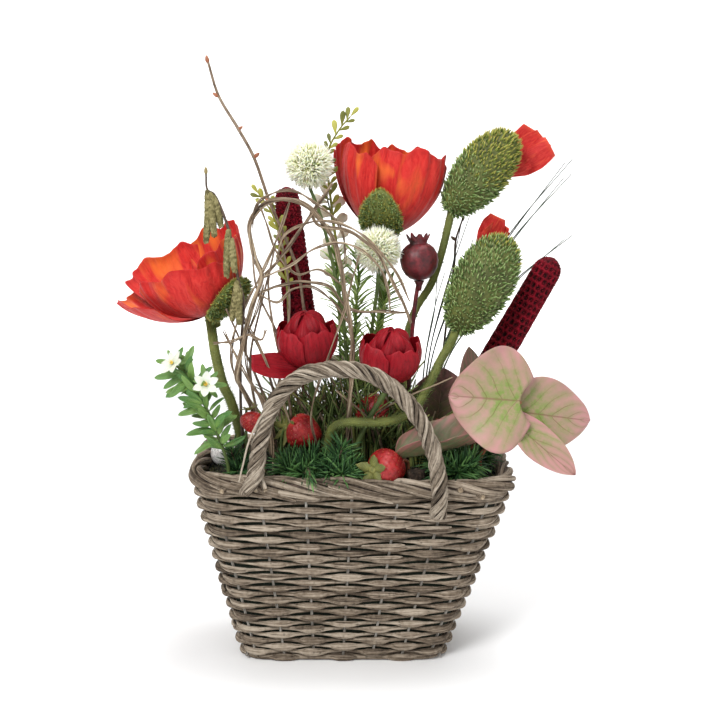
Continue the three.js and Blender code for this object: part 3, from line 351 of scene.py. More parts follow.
class Tree:
    """A short hand for building shader nodes, each handed on as the signal of one output. What
    is built inside a call's brackets comes first, so the nodes stand in reading order."""

    def __init__(self, tree):
        self.tree = tree

    def wire(self, source, socket):
        """A constant, or a link, into one socket."""
        if isinstance(source, Signal):
            self.tree.links.new(source.socket, socket)
        elif isinstance(source, tuple) and len(source) < len(socket.default_value):
            socket.default_value = (*source, 1.0)
        else:
            socket.default_value = source

    def node(self, kind, wires=(), pick=0, **settings):
        """A node with its settings, its inputs wired in turn or by name, and one output."""
        made = self.tree.nodes.new(kind)
        for key, value in settings.items():
            setattr(made, key, value)
        for key, source in wires.items() if isinstance(wires, dict) else enumerate(wires):
            self.wire(source, made.inputs[key])
        return Signal(self, made.outputs[pick])

    def outputs(self, signal):
        """All outputs of a signal's node, by name."""
        return {out.name: Signal(self, out) for out in signal.socket.node.outputs}

    def attribute(self, name, pick="Vector"):
        return self.node("ShaderNodeAttribute", pick=pick, attribute_name=name)

    def object_place(self):
        return self.node("ShaderNodeTexCoord", pick="Object")

    def math(self, how, a, b=0.0):
        return self.node("ShaderNodeMath", (a, b), operation=how)

    def vector_math(self, how, a, b):
        return self.node("ShaderNodeVectorMath", (a, b), operation=how)

    def combine(self, x, y, z):
        return self.node("ShaderNodeCombineXYZ", (x, y, z))

    def split(self, vector):
        return self.outputs(self.node("ShaderNodeSeparateXYZ", (vector,))).values()

    def noise(self, vector, scale, detail=3.0, rough=0.55, twist=0.0):
        return self.node("ShaderNodeTexNoise", {"Vector": vector, "Scale": scale, "Detail": detail,
                                                "Roughness": rough, "Distortion": twist}, "Fac")

    def cells(self, vector, scale):
        return self.node("ShaderNodeTexVoronoi", {"Vector": vector, "Scale": scale}, "Distance")

    def band(self, value, low, high, to_low=0.0, to_high=1.0):
        return self.node("ShaderNodeMapRange", (value, low, high, to_low, to_high), clamp=True)

    def blend(self, share, a, b):
        return self.node("ShaderNodeMix", {"Factor": share, 6: a, 7: b}, 2, data_type="RGBA")

    def ramp(self, value, *stops):
        """Colours that run into each other, each at its place on the value's scale."""
        made = self.node("ShaderNodeValToRGB", (value,))
        marks = made.socket.node.color_ramp.elements
        while len(marks) < len(stops):
            marks.new(0.5)
        for mark, (mark.position, color) in zip(marks, stops):
            mark.color = (*color, 1.0)
        return made

    def use(self, group, **wires):
        return self.outputs(self.node("ShaderNodeGroup", wires, node_tree=group))

    def mottle(self, scale):
        return self.use(MOTTLE, Place=self.object_place(), Scale=scale)

    def streaks_and_mottle(self, across, along, scale):
        """The tint and the flow, streaks along the flow, and mottle."""
        tint, flow = self.attribute("tint", "Fac"), self.attribute("flow")
        return tint, flow, self.use(STREAKS, Flow=flow, Tint=tint, Across=across, Along=along), self.mottle(scale)


FLOAT, VECTOR = "NodeSocketFloat", "NodeSocketVector"


def group(name, vector, numbers, results, build):
    """A shader node group: a vector input, number inputs and results by name, and what build
    wires inside."""
    tree = bpy.data.node_groups.new(name, "ShaderNodeTree")
    sockets = [(vector, "INPUT", VECTOR), *[(label, "INPUT", FLOAT) for label in numbers],
               *[(label, "OUTPUT", FLOAT) for label in results]]
    for label, side, kind in sockets:
        tree.interface.new_socket(name=label, in_out=side, socket_type=kind)
    t = Tree(tree)
    given, leave = t.outputs(t.node("NodeGroupInput")), tree.nodes.new("NodeGroupOutput")
    for label, source in zip(results, build(t, given)):
        t.wire(source, leave.inputs[label])
    return tree


def build_streaks(t, given):
    """Noise stretched along the flow: fine streaks, broad ones, and cracks where fine is low."""
    shrink = t.combine(given["Across"], given["Across"], given["Along"])
    place = t.vector_math("MULTIPLY", given["Flow"], shrink)
    shifted = t.vector_math("ADD", place, t.combine(0.0, 0.0, given["Tint"] * 37.0))
    fine = t.noise(shifted, 1.0, 5.0, 0.62, 0.3)
    return fine, t.noise(shifted, 0.31, 2.0, 0.5, 0.2), t.band(fine, 0.42, 0.34)


def build_mottle(t, given):
    """Two noises on the object's own coordinates, and dots where cells are near."""
    place, scale = given["Place"], given["Scale"]
    wide, close = t.noise(place, scale), t.noise(place, scale * 5.3, 3.0, 0.6)
    return wide, close, t.band(t.cells(place, scale * 3.1), 0.22, 0.1)


def build_silk(t, given):
    """Silk petal: thin creases that fan out from the foot and wander, crumples, wide folds and
    an edge mask."""
    u, v, _ = t.split(given["Flow"])
    shift = given["Tint"] * 23.0
    sway = t.noise(t.combine(u * 2.6, v * 3.4, shift), 1.0, 2.0, 0.5)
    fanned = u + (sway - 0.5) * 0.32
    crease = t.noise(t.combine(fanned * given["Count"], v * 3.2, shift), 1.0, 4.0, 0.6, 0.7)
    crumple = t.noise(t.combine(u * 7.0, v * 8.0, shift), 1.0, 4.0, 0.6, 1.3)
    wide = t.noise(t.combine(u * 2.2, v * 1.3, shift), 1.0, 2.0, 0.5, 0.4)
    edge = t.math("MAXIMUM", t.band(v, 0.9, 1.0), t.band(abs(u), 0.92, 1.0))
    return crease, wide, edge, v, crumple


STREAKS = group("Streaks along a stem", "Flow", ["Tint", "Across", "Along"], ["Fine", "Broad", "Crack"],
                build_streaks)
MOTTLE = group("Mottle", "Place", ["Scale"], ["Wide", "Close", "Dots"], build_mottle)
SILK = group("Silk creases", "Flow", ["Tint", "Count"], ["Crease", "Wide", "Edge", "Along", "Crumple"], build_silk)


def finish(name, paint, *colors, roughness=0.7, sheen=0.0, coat=0.0, coat_rough=0.3, through=0.0, specular=0.5,
           **more):
    """A material. Its paint, given the tree, the colours and what more it takes, hands back the
    colour, the height, the height's depth in metres and its strength. The rest are the
    shader's own constants."""
    made = bpy.data.materials.new(name)
    made.use_nodes = True
    t = Tree(made.node_tree)
    shader = made.node_tree.nodes["Principled BSDF"].inputs
    color, height, depth, strength = paint(t, *colors, **more)
    t.wire(color, shader["Base Color"])
    constants = {"Roughness": roughness, "Sheen Weight": sheen, "Coat Weight": coat, "Coat Roughness": coat_rough,
                 "Specular IOR Level": specular}
    if through:
        constants.update({"Subsurface Weight": through, "Subsurface Radius": (0.004, 0.0015, 0.001),
                          "Subsurface Scale": 0.4})
    for label, value in constants.items():
        shader[label].default_value = value
    if height:
        t.wire(t.node("ShaderNodeBump", {"Strength": strength, "Distance": depth, "Height": height}, "Normal"),
               shader["Normal"])
    return made


def rod_paint(t, dark, mid, light, crack, across=0.9, along=0.06, depth=0.0005, spots=0.0):
    """Bark or peeled willow: streaks along the rod from dark to light and darker cracks,
    each rod a shade of its own, with grey weather patches."""
    tint, _, s, m = t.streaks_and_mottle(across, along, 45.0)
    share = s["Fine"] * 1.15 + tint * 0.36
    share = share + (s["Broad"] - 0.5) * 1.1
    share = share + (m["Close"] - 0.5) * 0.5
    color = t.ramp(share - 0.2, (0.22, dark), (0.52, mid), (0.86, light))
    color = t.blend(s["Crack"] * 0.85, color, crack)
    return t.blend(m["Dots"] * spots, color, crack), s["Fine"], depth, 0.9


def petal_paint(t, foot, body, light, tip, count=26.0, patch=None, depth=0.0006, patch_low=0.56, patch_high=0.72,
                foot_end=0.4):
    """Silk petal: the foot's colour runs into the body's, the creases and crumples get a painted
    highlight of the light colour where they rise and painted shade of the foot's colour where they
    sink, a wide patch may turn to another colour and the edge to the tip's."""
    tint, flow = t.attribute("tint", "Fac"), t.attribute("flow")
    s = t.use(SILK, Flow=flow, Tint=tint, Count=count)
    color = t.blend(t.band(s["Along"], 0.0, foot_end), foot, body)
    # Painted light and shade: the crease and crumple noises, which also raise the bump, lighten the ridges towards the
    # light colour and darken the hollows towards the foot's colour.
    folds = [("Crease", 0.42, 0.72, 0.65, light), ("Crumple", 0.5, 0.72, 0.55, light),
             ("Crease", 0.44, 0.3, 0.45, foot), ("Crumple", 0.45, 0.28, 0.5, foot)]
    for label, low, high, most, other in folds:
        color = t.blend(t.band(s[label], low, high, 0.0, most), color, other)
    color = t.blend(tint * 0.25, color, foot)
    if patch:
        where = t.band(s["Wide"], patch_low, patch_high) * t.band(s["Along"], 0.35, 0.8)
        color = t.blend(where * 0.85, color, patch)
    color = t.blend(s["Edge"] * 0.55, color, tip)
    return color, s["Crease"] + s["Crumple"] + s["Wide"] * 1.5, depth, 0.6


def green_paint(t, dark, mid, light, tip=None, scale=60.0):
    """A stem, needle or small leaf: streaks and mottle from dark to light, each repeat a
    shade of its own, with an end colour towards the tip of a prickle or leaf."""
    tint, flow, s, m = t.streaks_and_mottle(1.2, 0.1, scale)
    color = t.ramp((s["Fine"] + m["Wide"]) * 0.45 + (tint - 0.5) * 0.5, (0.18, dark), (0.45, mid), (0.78, light))
    if tip:
        _, _, along = t.split(flow)
        color = t.blend(t.band(along, 0.45, 1.0, 0.0, 0.85), color, tip)
    return color, s["Fine"], 0.0003, 0.5


def leaf_paint(t, middle, body, edge, vein, mottle=0.7, ribs=7.0, reach=0.9, shade=0.0):
    """A broad leaf: the middle's green breaks up into the body's colour, which turns to the
    edge's; ribs run out from the midrib as thin lines of the vein's colour."""
    u, v, _ = t.split(t.attribute("flow"))
    away = abs(u)
    m = t.mottle(38.0)
    slant = v * ribs - away * 2.4
    slant = slant + m["Wide"] * 0.55
    saw = abs(t.math("FRACT", slant) - 0.5)
    ribline = t.band(saw, 0.05, 0.0) * t.band(away, 1.0, 0.15)
    lines = t.math("MAXIMUM", ribline, t.band(away, 0.035, 0.0))
    far = t.math("MAXIMUM", away * reach, v * 0.95)
    far = far + (m["Wide"] - 0.5) * 0.9
    far = far + (saw - 0.2) * 0.6
    color = t.blend(t.band(far, 0.25, 0.66), middle, body)
    color = t.blend(t.band(m["Close"], 0.40, 0.68) * mottle, color, edge)
    color = t.blend(t.band(far, 0.66, 0.98), color, edge)
    color = t.blend(t.attribute("tint", "Fac") * shade, color, middle)
    color = t.blend(lines * 0.6, color, vein)
    return color, m["Close"] * 0.3 - lines, 0.0005, 0.55


def mottle_paint(t, dark, mid, light, scale, depth=0.0005, stripes=0.0):
    """Mottled from dark to light on the object's own coordinates, each rod or knob a shade of
    its own by stripes; on the spike lattice the tint follows the ridge height, so the stripes paint
    light on the ridges and shade in the hollows."""
    m = t.mottle(scale)
    share = m["Wide"] * 0.7 + m["Close"] * 0.35
    share = share + (t.attribute("tint", "Fac") - 0.5) * stripes
    return t.ramp(share, (0.36, dark), (0.55, mid), (0.72, light)), m["Close"], depth, 0.6


def pearl_paint(t, line, white):
    """Pearly white with grey swirls: a distorted noise folded into thin bands."""
    swirl = t.noise(t.object_place(), 95.0, 2.0, 0.5, 3.2)
    return t.blend(t.band(abs(swirl - 0.5), 0.0, 0.09), line, white), swirl, 0.0003, 0.3


def floor_paint(t, color):
    """One colour that a soft noise darkens by up to 1.5 %."""
    tone = t.noise(t.object_place(), 3.0, 2.0)
    return t.blend(tone, tuple(0.985 * c for c in color), color), None, 0.0, 0.0


WILLOW = finish("Weathered willow", rod_paint, (0.055, 0.04, 0.028), (0.19, 0.146, 0.104), (0.43, 0.36, 0.28),
    (0.016, 0.011, 0.008), across=1.25, along=0.045, spots=0.45, depth=0.0008, roughness=0.85, specular=0.25)
WILLOW_GREY = finish("Grey twisted willow", rod_paint, (0.055, 0.041, 0.029), (0.185, 0.146, 0.106),
    (0.45, 0.385, 0.305), (0.012, 0.008, 0.006), across=1.6, along=0.05, spots=0.4, depth=0.0008,
    roughness=0.85, specular=0.25)
STAKE = finish("Pale stake", rod_paint, (0.1, 0.085, 0.07), (0.24, 0.22, 0.19), (0.42, 0.4, 0.36),
    (0.04, 0.03, 0.025), across=1.4, roughness=0.8)
CUT_END = finish("Cut rod end", mottle_paint, (0.13, 0.09, 0.055), (0.34, 0.26, 0.17), (0.55, 0.46, 0.34),
    300.0, roughness=0.85)
POPPY = finish("Poppy silk", petal_paint, (0.25, 0.004, 0.005), (0.53, 0.013, 0.011), (0.7, 0.055, 0.038),
    (0.34, 0.008, 0.007), count=22.0, patch=(0.8, 0.175, 0.026), patch_low=0.545, patch_high=0.68,
    depth=0.001, roughness=0.6, sheen=0.12, through=0.1, specular=0.2)
BUD_SILK = finish("Bud silk", petal_paint, (0.28, 0.006, 0.007), (0.55, 0.014, 0.013), (0.72, 0.065, 0.045),
    (0.66, 0.08, 0.03), count=20.0, patch=(0.78, 0.12, 0.04), roughness=0.55, sheen=0.12, through=0.1,
    specular=0.25)
# The near black foot colour, carried up to 0.75 of each petal by foot_end, is painted shade where the petals overlap.
PEONY = finish("Peony silk", petal_paint, (0.045, 0.0006, 0.002), (0.26, 0.003, 0.01), (0.43, 0.008, 0.018),
    (0.3, 0.006, 0.014), count=14.0, depth=0.0006, foot_end=0.75, roughness=0.5, specular=0.22)
HAIRY = finish("Hairy green", green_paint, (0.06, 0.072, 0.015), (0.185, 0.21, 0.046), (0.34, 0.36, 0.11),
    roughness=0.75)
PRICKLE = finish("Green prickles", green_paint, (0.05, 0.095, 0.022), (0.155, 0.265, 0.065),
    (0.3, 0.42, 0.14), tip=(0.43, 0.5, 0.22), scale=40.0, roughness=0.6)
PRICKLE_GOLD = finish("Golden prickles", green_paint, (0.07, 0.11, 0.014), (0.22, 0.28, 0.045),
    (0.38, 0.4, 0.08), tip=(0.56, 0.37, 0.05), scale=40.0, roughness=0.6)
STALK = finish("Dull green stalk", green_paint, (0.035, 0.06, 0.012), (0.1, 0.15, 0.035), (0.22, 0.29, 0.09),
    roughness=0.65)
CAPSULE_SKIN = finish("Capsule skin", mottle_paint, (0.018, 0.002, 0.003), (0.115, 0.005, 0.01),
    (0.26, 0.018, 0.026), 70.0, roughness=0.5, coat=0.06)
SPIKE_KNOBS = finish("Spike knobs", mottle_paint, (0.07, 0.001, 0.005), (0.17, 0.002, 0.01),
    (0.28, 0.007, 0.02), 160.0, stripes=0.35, roughness=0.6, specular=0.2)
# Painted light and shade: its stripes turn the lattice's ridge-height tint into lighter ridges and darker hollows.
SPIKE_LATTICE_SHADED = finish("Spike lattice", mottle_paint, (0.014, 0.0006, 0.0015), (0.11, 0.0016, 0.007),
    (0.22, 0.004, 0.014), 160.0, stripes=0.5, roughness=0.65, specular=0.12)
WHITE_FLORET = finish("White florets", green_paint, (0.7, 0.74, 0.36), (0.88, 0.88, 0.62), (0.94, 0.94, 0.8),
    tip=(0.95, 0.94, 0.87), roughness=0.6, through=0.1)
SPRIG_LEAF = finish("Yellow green leaflets", green_paint, (0.1, 0.11, 0.01), (0.25, 0.25, 0.028),
    (0.42, 0.4, 0.07), scale=80.0, roughness=0.5)
CREAM_LEAF = finish("Cream leaflets", green_paint, (0.62, 0.57, 0.42), (0.84, 0.8, 0.67), (0.92, 0.9, 0.82),
    scale=60.0, roughness=0.6, through=0.1)
NEEDLE = finish("Fresh needles", green_paint, (0.095, 0.17, 0.026), (0.27, 0.4, 0.085), (0.45, 0.57, 0.2),
    scale=50.0, roughness=0.5)
FIR_NEEDLE = finish("Fir needles", green_paint, (0.008, 0.028, 0.01), (0.04, 0.115, 0.034),
    (0.15, 0.3, 0.085), tip=(0.21, 0.37, 0.11), scale=50.0, roughness=0.5, specular=0.3)
STAR_LEAF = finish("Oval leaves", leaf_paint, (0.2, 0.33, 0.075), (0.055, 0.155, 0.035), (0.08, 0.2, 0.05),
    (0.26, 0.4, 0.15), mottle=0.35, ribs=8.0, shade=0.75, roughness=0.45, specular=0.45)
STAR_PETAL = finish("White star petals", petal_paint, (0.52, 0.58, 0.36), (0.7, 0.73, 0.62),
    (0.8, 0.82, 0.76), (0.84, 0.85, 0.82), count=9.0, depth=0.0005, roughness=0.5, through=0.15)
STAMEN = finish("Yellow stamens", mottle_paint, (0.55, 0.33, 0.02), (0.8, 0.56, 0.06), (0.92, 0.76, 0.22),
    260.0, roughness=0.6)
BERRY = finish("Strawberry skin", mottle_paint, (0.15, 0.003, 0.004), (0.35, 0.009, 0.01),
    (0.5, 0.026, 0.021), 60.0, depth=0.0006, roughness=0.5, coat=0.08, coat_rough=0.35)
SEED = finish("Pale seeds", mottle_paint, (0.34, 0.07, 0.02), (0.56, 0.17, 0.06), (0.7, 0.34, 0.15), 500.0,
    roughness=0.5)
CALYX_LEAF = finish("Olive calyx", leaf_paint, (0.15, 0.155, 0.028), (0.09, 0.1, 0.022), (0.19, 0.185, 0.045),
    (0.26, 0.26, 0.09), mottle=0.3, ribs=5.0, roughness=0.6)
PINK_LEAF = finish("Pink and green leaf", leaf_paint, (0.18, 0.26, 0.055), (0.32, 0.235, 0.15),
    (0.45, 0.225, 0.215), (0.17, 0.055, 0.04), mottle=0.5, ribs=5.0, reach=0.85, roughness=0.5, specular=0.35)
BLUSH_LEAF = finish("Blush leaf", leaf_paint, (0.075, 0.075, 0.02), (0.095, 0.052, 0.034),
    (0.19, 0.075, 0.065), (0.2, 0.13, 0.09), mottle=0.4, ribs=6.0, roughness=0.55)
OLIVE_LEAF = finish("Olive leaf", leaf_paint, (0.095, 0.115, 0.035), (0.065, 0.065, 0.026),
    (0.16, 0.07, 0.055), (0.17, 0.17, 0.08), mottle=0.4, ribs=6.0, roughness=0.55)
CURLED_LEAF = finish("Curled grey green leaf", leaf_paint, (0.155, 0.19, 0.085), (0.11, 0.125, 0.055),
    (0.3, 0.125, 0.105), (0.2, 0.21, 0.12), mottle=0.4, ribs=6.0, roughness=0.55)
PETIOLE = finish("Rusty leaf stalk", green_paint, (0.2, 0.06, 0.025), (0.36, 0.13, 0.06), (0.5, 0.26, 0.13),
    roughness=0.5)
CATKIN = finish("Catkin scales", green_paint, (0.085, 0.072, 0.022), (0.2, 0.175, 0.065), (0.34, 0.3, 0.14),
    tip=(0.28, 0.215, 0.09), scale=90.0, roughness=0.8)
TWIG = finish("Twig bark", rod_paint, (0.075, 0.045, 0.028), (0.21, 0.145, 0.095), (0.36, 0.28, 0.2),
    (0.03, 0.02, 0.012), across=1.1, along=0.12, spots=0.4, roughness=0.75)
# Dark bark for the dark twig and the poppies' stamens, and painted shade as the core inside the rim and the handle
# ropes.
DARK_TWIG_AND_CORE_SHADE = finish("Dark twig bark", rod_paint, (0.022, 0.013, 0.009), (0.07, 0.044, 0.03), (0.15, 0.1, 0.07),
    (0.01, 0.007, 0.005), across=1.1, along=0.12, roughness=0.75)
VINE = finish("Dried vine", rod_paint, (0.075, 0.048, 0.028), (0.215, 0.15, 0.095), (0.42, 0.33, 0.225),
    (0.035, 0.022, 0.014), across=1.3, along=0.05, roughness=0.8)
GRASS_BLADE = finish("Dark grass", green_paint, (0.012, 0.02, 0.014), (0.04, 0.06, 0.04), (0.1, 0.13, 0.085),
    roughness=0.5)
MOSS_COAT = finish("Moss", mottle_paint, (0.01, 0.012, 0.005), (0.035, 0.04, 0.014), (0.1, 0.095, 0.035),
    70.0, depth=0.0015, stripes=0.6, roughness=0.95)
# Near black: painted shade, so the gaps in the weave read dark; the cell texture is the foam's own.
FOAM_SHADE_COAT = finish("Foam cells", mottle_paint, (0.006, 0.01, 0.006), (0.016, 0.026, 0.015),
    (0.03, 0.045, 0.028), 400.0, depth=0.0008, roughness=0.95)
BARK = finish("Coarse bark", mottle_paint, (0.01, 0.006, 0.004), (0.045, 0.028, 0.018), (0.13, 0.085, 0.055),
    130.0, depth=0.002, roughness=0.95)
PEARL = finish("Pearly glaze", pearl_paint, (0.52, 0.51, 0.49), (0.88, 0.87, 0.84), roughness=0.28, coat=0.4,
    coat_rough=0.1)


# ---- the basket ------------------------------------------------------------------------
# Half width, half depth and corner radius of the wall at its foot and its top, how far the top
# sits to the right of the foot, the wall's height and thickness, and its stakes and courses.
BASE, TOP = (95.0, 50.0, 24.0), (145.0, 77.0, 34.0)
LEAN, HEIGHT, WALL = 9.0, 168.0, 6.0
STAKES, COURSES = 20, 28


def rounded_ring(half_x, half_y, corner, share):
    """Places at shares of the way round a rectangle with round corners, from the middle of
    its front: four straight runs and four quarter circles, by length."""
    a, b = half_x - corner, half_y - corner
    quarter = np.linspace(-np.pi / 2, 0, 24)
    arcs = [polar(corner, quarter + k * np.pi / 2, 0)[:, :2] + centre
            for k, centre in enumerate([(a, -b), (a, b), (-a, b), (-a, -b)])]
    front = [[0, -half_y]]
    return even(np.vstack([front, *arcs, front]), np.mod(share, 1.0))


def rim_lift(x):
    """How far the rim rises over its middle: 3 r^2 - 3 r, with r the share of its half width."""
    r = (x - LEAN) / TOP[0]
    return 3 * r * r - 3 * r


def wall(share, t, out=0.0):
    """A place on the wall at a share round it and t up it, moved out square to the ring."""
    share, t = np.broadcast_arrays(np.asarray(share, float), np.asarray(t, float))

    def ring(at):
        return mix(rounded_ring(*BASE, at), rounded_ring(*TOP, at) + [LEAN, 0], t[..., None])

    step = 1e-3
    slope = ring(share + step) - ring(share - step)
    away = unit(np.stack([slope[..., 1], -slope[..., 0]], -1))
    flat = ring(share) + away * np.asarray(out)[..., None]
    z = HEIGHT * t + rim_lift(flat[..., 0]) * t * t
    return np.concatenate([flat, z[..., None]], -1)


def weave(rng):
    """Each course goes round the wall and swings in and out past every stake by a cosine,
    the next one the other way; it is thick where it shows and pressed thin where it crosses."""
    heap = Heap()
    round_it = np.arange(260) / 260
    for k in range(COURSES):
        # Each course starts, and each of its rods meets the next, behind a stake.
        share = (2 * int(rng.integers(0, 10)) + 1 - k) / STAKES + round_it
        swing = np.cos(np.pi * share * STAKES + np.pi * k)
        drift = 0.5 * cycle(3 * share + rng.random()) + 0.4 * cycle(7 * share + rng.random())
        t = (k + 0.5) / (COURSES + 0.2) + 0.35 * drift / HEIGHT * np.minimum(1, 8 * (k + 1) / COURSES)
        path = wall(share, t, -1.9 + 2.5 * swing)
        joints = np.sort(rng.choice(np.arange(2, 9), 2, False)) / 10
        shade = rng.random(3)
        tint = shade[(round_it >= joints[0]).astype(int) + (round_it >= joints[1])]
        front = ease(swing)
        plump = mix(0.84, 1.12, rng.random()) * (1 + 0.09 * cycle(5 * share + rng.random())
                                                 + 0.05 * cycle(17 * share + rng.random()))
        tall = (1.75 + 1.85 * front) * plump
        deep = (2.1 + 0.75 * front) * plump
        path[:, 2] = np.maximum(path[:, 2], tall + 0.1)
        add_rod(heap, path, deep, 10, tint, closed=True, flat=tall / deep, offset=400.0 * k)
    # Loose rods lie slanting over a few crossings.
    for k in range(14):
        row = int(rng.integers(2, COURSES - 2))
        stake = int(rng.integers(0, STAKES)) + row % 2
        start = (2 * (stake // 2) + row % 2) / STAKES
        span = np.linspace(-0.035, 0.018, 26)
        path = wall(start + span, (row + 0.5) / (COURSES + 0.2), 1.6 + 1.0 * np.cos(np.pi * span / 0.06))
        path[:, 2] += np.linspace(2.2, 3.6, 26)
        taper = 1.7 * np.sqrt(np.clip(np.minimum((span - span[0]) / 0.02, (span[-1] - span) / 0.01) + 0.12, 0, 1))
        add_rod(heap, path, taper, 7, rng.random(), offset=31.0 * k)
    # The stakes stand inside the courses.
    for k in range(STAKES):
        path = wall(k / STAKES, np.linspace(0.012, 1.02, 30), -1.6)
        add_rod(heap, path, 1.25, 8, rng.random(), 1, offset=200.0 * k)
    # The floor: rods from side to side over and under thinner ones from front to back.
    for k in range(15):
        y = mix(-46.5, 46.5, k / 14)
        into_corner = max(0, abs(y) - (BASE[1] - BASE[2]))
        reach = BASE[0] - 3.5 - (BASE[2] - math.sqrt(BASE[2] ** 2 - into_corner**2))
        x = np.linspace(-reach, reach, 90)
        z = 3.9 + 0.9 * np.cos(np.pi * x / 15 + np.pi * k)
        add_rod(heap, np.stack([x, 0 * x + y, z], 1), 2.9, 8, rng.random(), offset=300.0 * k)
    for k in range(13):
        x = 15.0 * (k - 6)
        y = np.linspace(-47, 47, 12)
        add_rod(heap, np.stack([0 * y + x, y, 0 * y + 4.2], 1), 1.5, 8, rng.random(), 1, offset=90.0 * k)
    add_rod(heap, wall(round_it, 0.018, -2.6), 2.6, 8, 0.4, closed=True)
    heap.piece("basket_body_weave", "willow", "basket_body", [WILLOW, STAKE])


def border(rng):
    """Five rods laid round the top twist loosely about a dark core, painted shade between them:
    each one's angle about the ring grows by six turns, and its reach and girth wander. Cut ends stick out at the
    corners."""
    heap = Heap()
    count = 420
    twists, strands = 6, 5
    for k in range(strands):
        # Each strand starts on the inner side, half a turn from where it faces outwards.
        start = (k / strands + 0.5 + int(rng.integers(0, twists))) / twists
        share = start + np.arange(count) / count
        middle = wall(share, 1.0, -WALL / 2)
        middle[:, 2] = 173.2 + rim_lift(middle[:, 0])
        heading = unit(np.roll(middle, -1, 0) - np.roll(middle, 1, 0))
        away = unit(np.cross(heading, UP))
        angle = 2 * np.pi * (k / strands - twists * share)
        wander = 1 + 0.13 * cycle(5 * share + 0.37 * k)
        path = middle + spoke(away * 4.9, UP * 6.4, angle) * wander[:, None]
        thick = (3.4, 2.8, 3.3, 2.5, 3.1)[k] * (1 + 0.15 * cycle(7 * share + k / 3))
        run = np.arange(count) / count * twists
        tint = np.mod(np.floor(run / 2) * 0.43 + 0.31 * k, 1.0)
        add_rod(heap, path, thick, 10, tint, closed=True, offset=900.0 * k)
    # A dark rod along the middle of the rim: painted shade that shows in the gaps between the strands.
    add_rod(heap, middle, 4.4, 8, 0.0, 2, closed=True)
    ends = [(0.905, 12.0, 2.0, -0.55), (0.865, 10.0, -2.0, -0.3), (0.885, 9.0, 6.0, 0.2), (0.135, 9.0, -3.0, 0.4),
            (0.115, 8.0, 3.0, 0.1), (0.39, 8.0, 2.0, 0.3), (0.62, 9.0, 0.0, -0.4), (0.47, 6.0, -4.0, 0.2)]
    for k, (place, reach, rise, slide) in enumerate(ends):
        inner, outer = wall(place, 1.0, -3.0), wall(place, 1.0, 6.0)
        out = outer - inner
        along = unit([-out[1], out[0], 0]) * slide
        path = inner + UP * (4.0 + rise) + np.linspace(0, 1, 7)[:, None] * (unit(out) + along - 0.12 * UP) * reach
        add_rod(heap, path, [2.9, 3.2, 3.2, 3.1, 3.2, 3.1, 2.6], 9, rng.random(), offset=77.0 * k)
        ahead = path[-1] - path[-2]
        cut = [(0, -0.6), (2.5, -0.3), (2.0, 0.35), (0, 0.4)]
        add_turned(heap, Seat(path[-1] + unit(ahead) * 0.1, ahead), cut, 9, coat=1)
    # Loose rods slant over the border's outside.
    for k in range(9):
        place = rng.random()
        span = np.linspace(0, 0.07, 30)
        path = wall(place + span, 1.0, 1.9)
        path[:, 2] = 166.5 + rim_lift(path[:, 0]) + np.linspace(9, -5, 30) * (1 if k % 2 else 0.6)
        swell = 2.6 * np.sqrt(np.sin(np.pi * np.linspace(0.06, 0.94, 30)))
        add_rod(heap, path, swell, 8, rng.random(), offset=51.0 * k)
    heap.piece("basket_rim_border", "willow", "basket_rim", [WILLOW, CUT_END, DARK_TWIG_AND_CORE_SHADE])


HANDLE_FRONT = [
    (85, -85.4, 150), (86, -87.9, 172), (83, -88, 199), (75, -89, 224), (62, -87, 248), (43, -85, 267.5),
    (20, -84, 280), (-6, -84, 283), (-32, -84, 278), (-50, -85, 265), (-62, -87, 246), (-71, -89, 220),
    (-76, -88, 190), (-77, -87.9, 171)]
HANDLE_BACK = [
    (78, 85.4, 150), (79, 87.2, 172), (77, 90, 190), (70, 94, 211), (58, 95, 231), (40, 96, 247),
    (18, 97, 255), (-6, 97, 257), (-28, 96, 252), (-46, 95, 241), (-59, 94, 225), (-67, 93, 205),
    (-71, 90, 187), (-72, 87.2, 172), (-71, 85.4, 150)]


def handle(points, name, loose, seed):
    """Eight thin rods twisted into a rope: each one's angle about the arch grows with the
    length, one of dark bark lies in the middle as painted shade between them, and the last 20 mm
    of a leg part in two strands."""
    rng = np.random.default_rng(seed)
    heap = Heap()
    line = smooth(points, 260)
    heading = unit(np.gradient(line, axis=0))
    side = unit(np.cross(heading, BACK))
    other = np.cross(heading, side)
    share = run_of(line) / run_of(line)[-1]
    thick = [2.5, 1.6, 2.2, 1.5, 2.6, 1.7, 2.1, 1.5]
    for k, radius in enumerate(thick):
        angle = 2 * np.pi * (k / len(thick) + 6.5 * share) + 0.35 * np.sin(9 * share + k)
        reach = (7.4 - radius) * (1 + 0.11 * np.sin(21 * share + 2 * k))
        path = line + spoke(side, other, angle) * reach[:, None]
        path[:, 0] += ease((share - 0.94) / 0.06) * (6.0 if math.cos(angle[-1]) > 0 else -6.0)
        part = share < 1 - 0.008 * (k % 3)
        path, swell = path[part], radius * (1 + 0.08 * np.sin(13 * share + 3 * k))[part]
        add_rod(heap, path, swell, 9, rng.random(), offset=600.0 * k)
        add_turned(heap, Seat(path[-1], path[-1] - path[-2]),
                   [(0, -0.5), (radius * 0.9, -0.2), (radius * 0.75, 0.3), (0, 0.35)], 9, coat=1)
    # The dark middle rod: painted shade that shows in the gaps between the twisted rods.
    add_rod(heap, line[share < 0.95], 3.9, 8, 0.0, 2, offset=5000.0)
    if loose:
        strand = smooth(loose, 60)
        add_rod(heap, strand, 1.1 * np.sqrt(np.linspace(1, 0.45, 60)), 7, 0.95, offset=7000.0)
    heap.piece(f"{name}_rope", "willow", name, [WILLOW_GREY, CUT_END, DARK_TWIG_AND_CORE_SHADE])


weave(np.random.default_rng(3))
border(np.random.default_rng(5))
handle(HANDLE_FRONT, "basket_handle_front",
       [(-59, -93, 255), (-70, -94, 242), (-80, -95, 222), (-86, -95, 200), (-90, -93, 184)], 7)
handle(HANDLE_BACK, "basket_handle_back", None, 9)


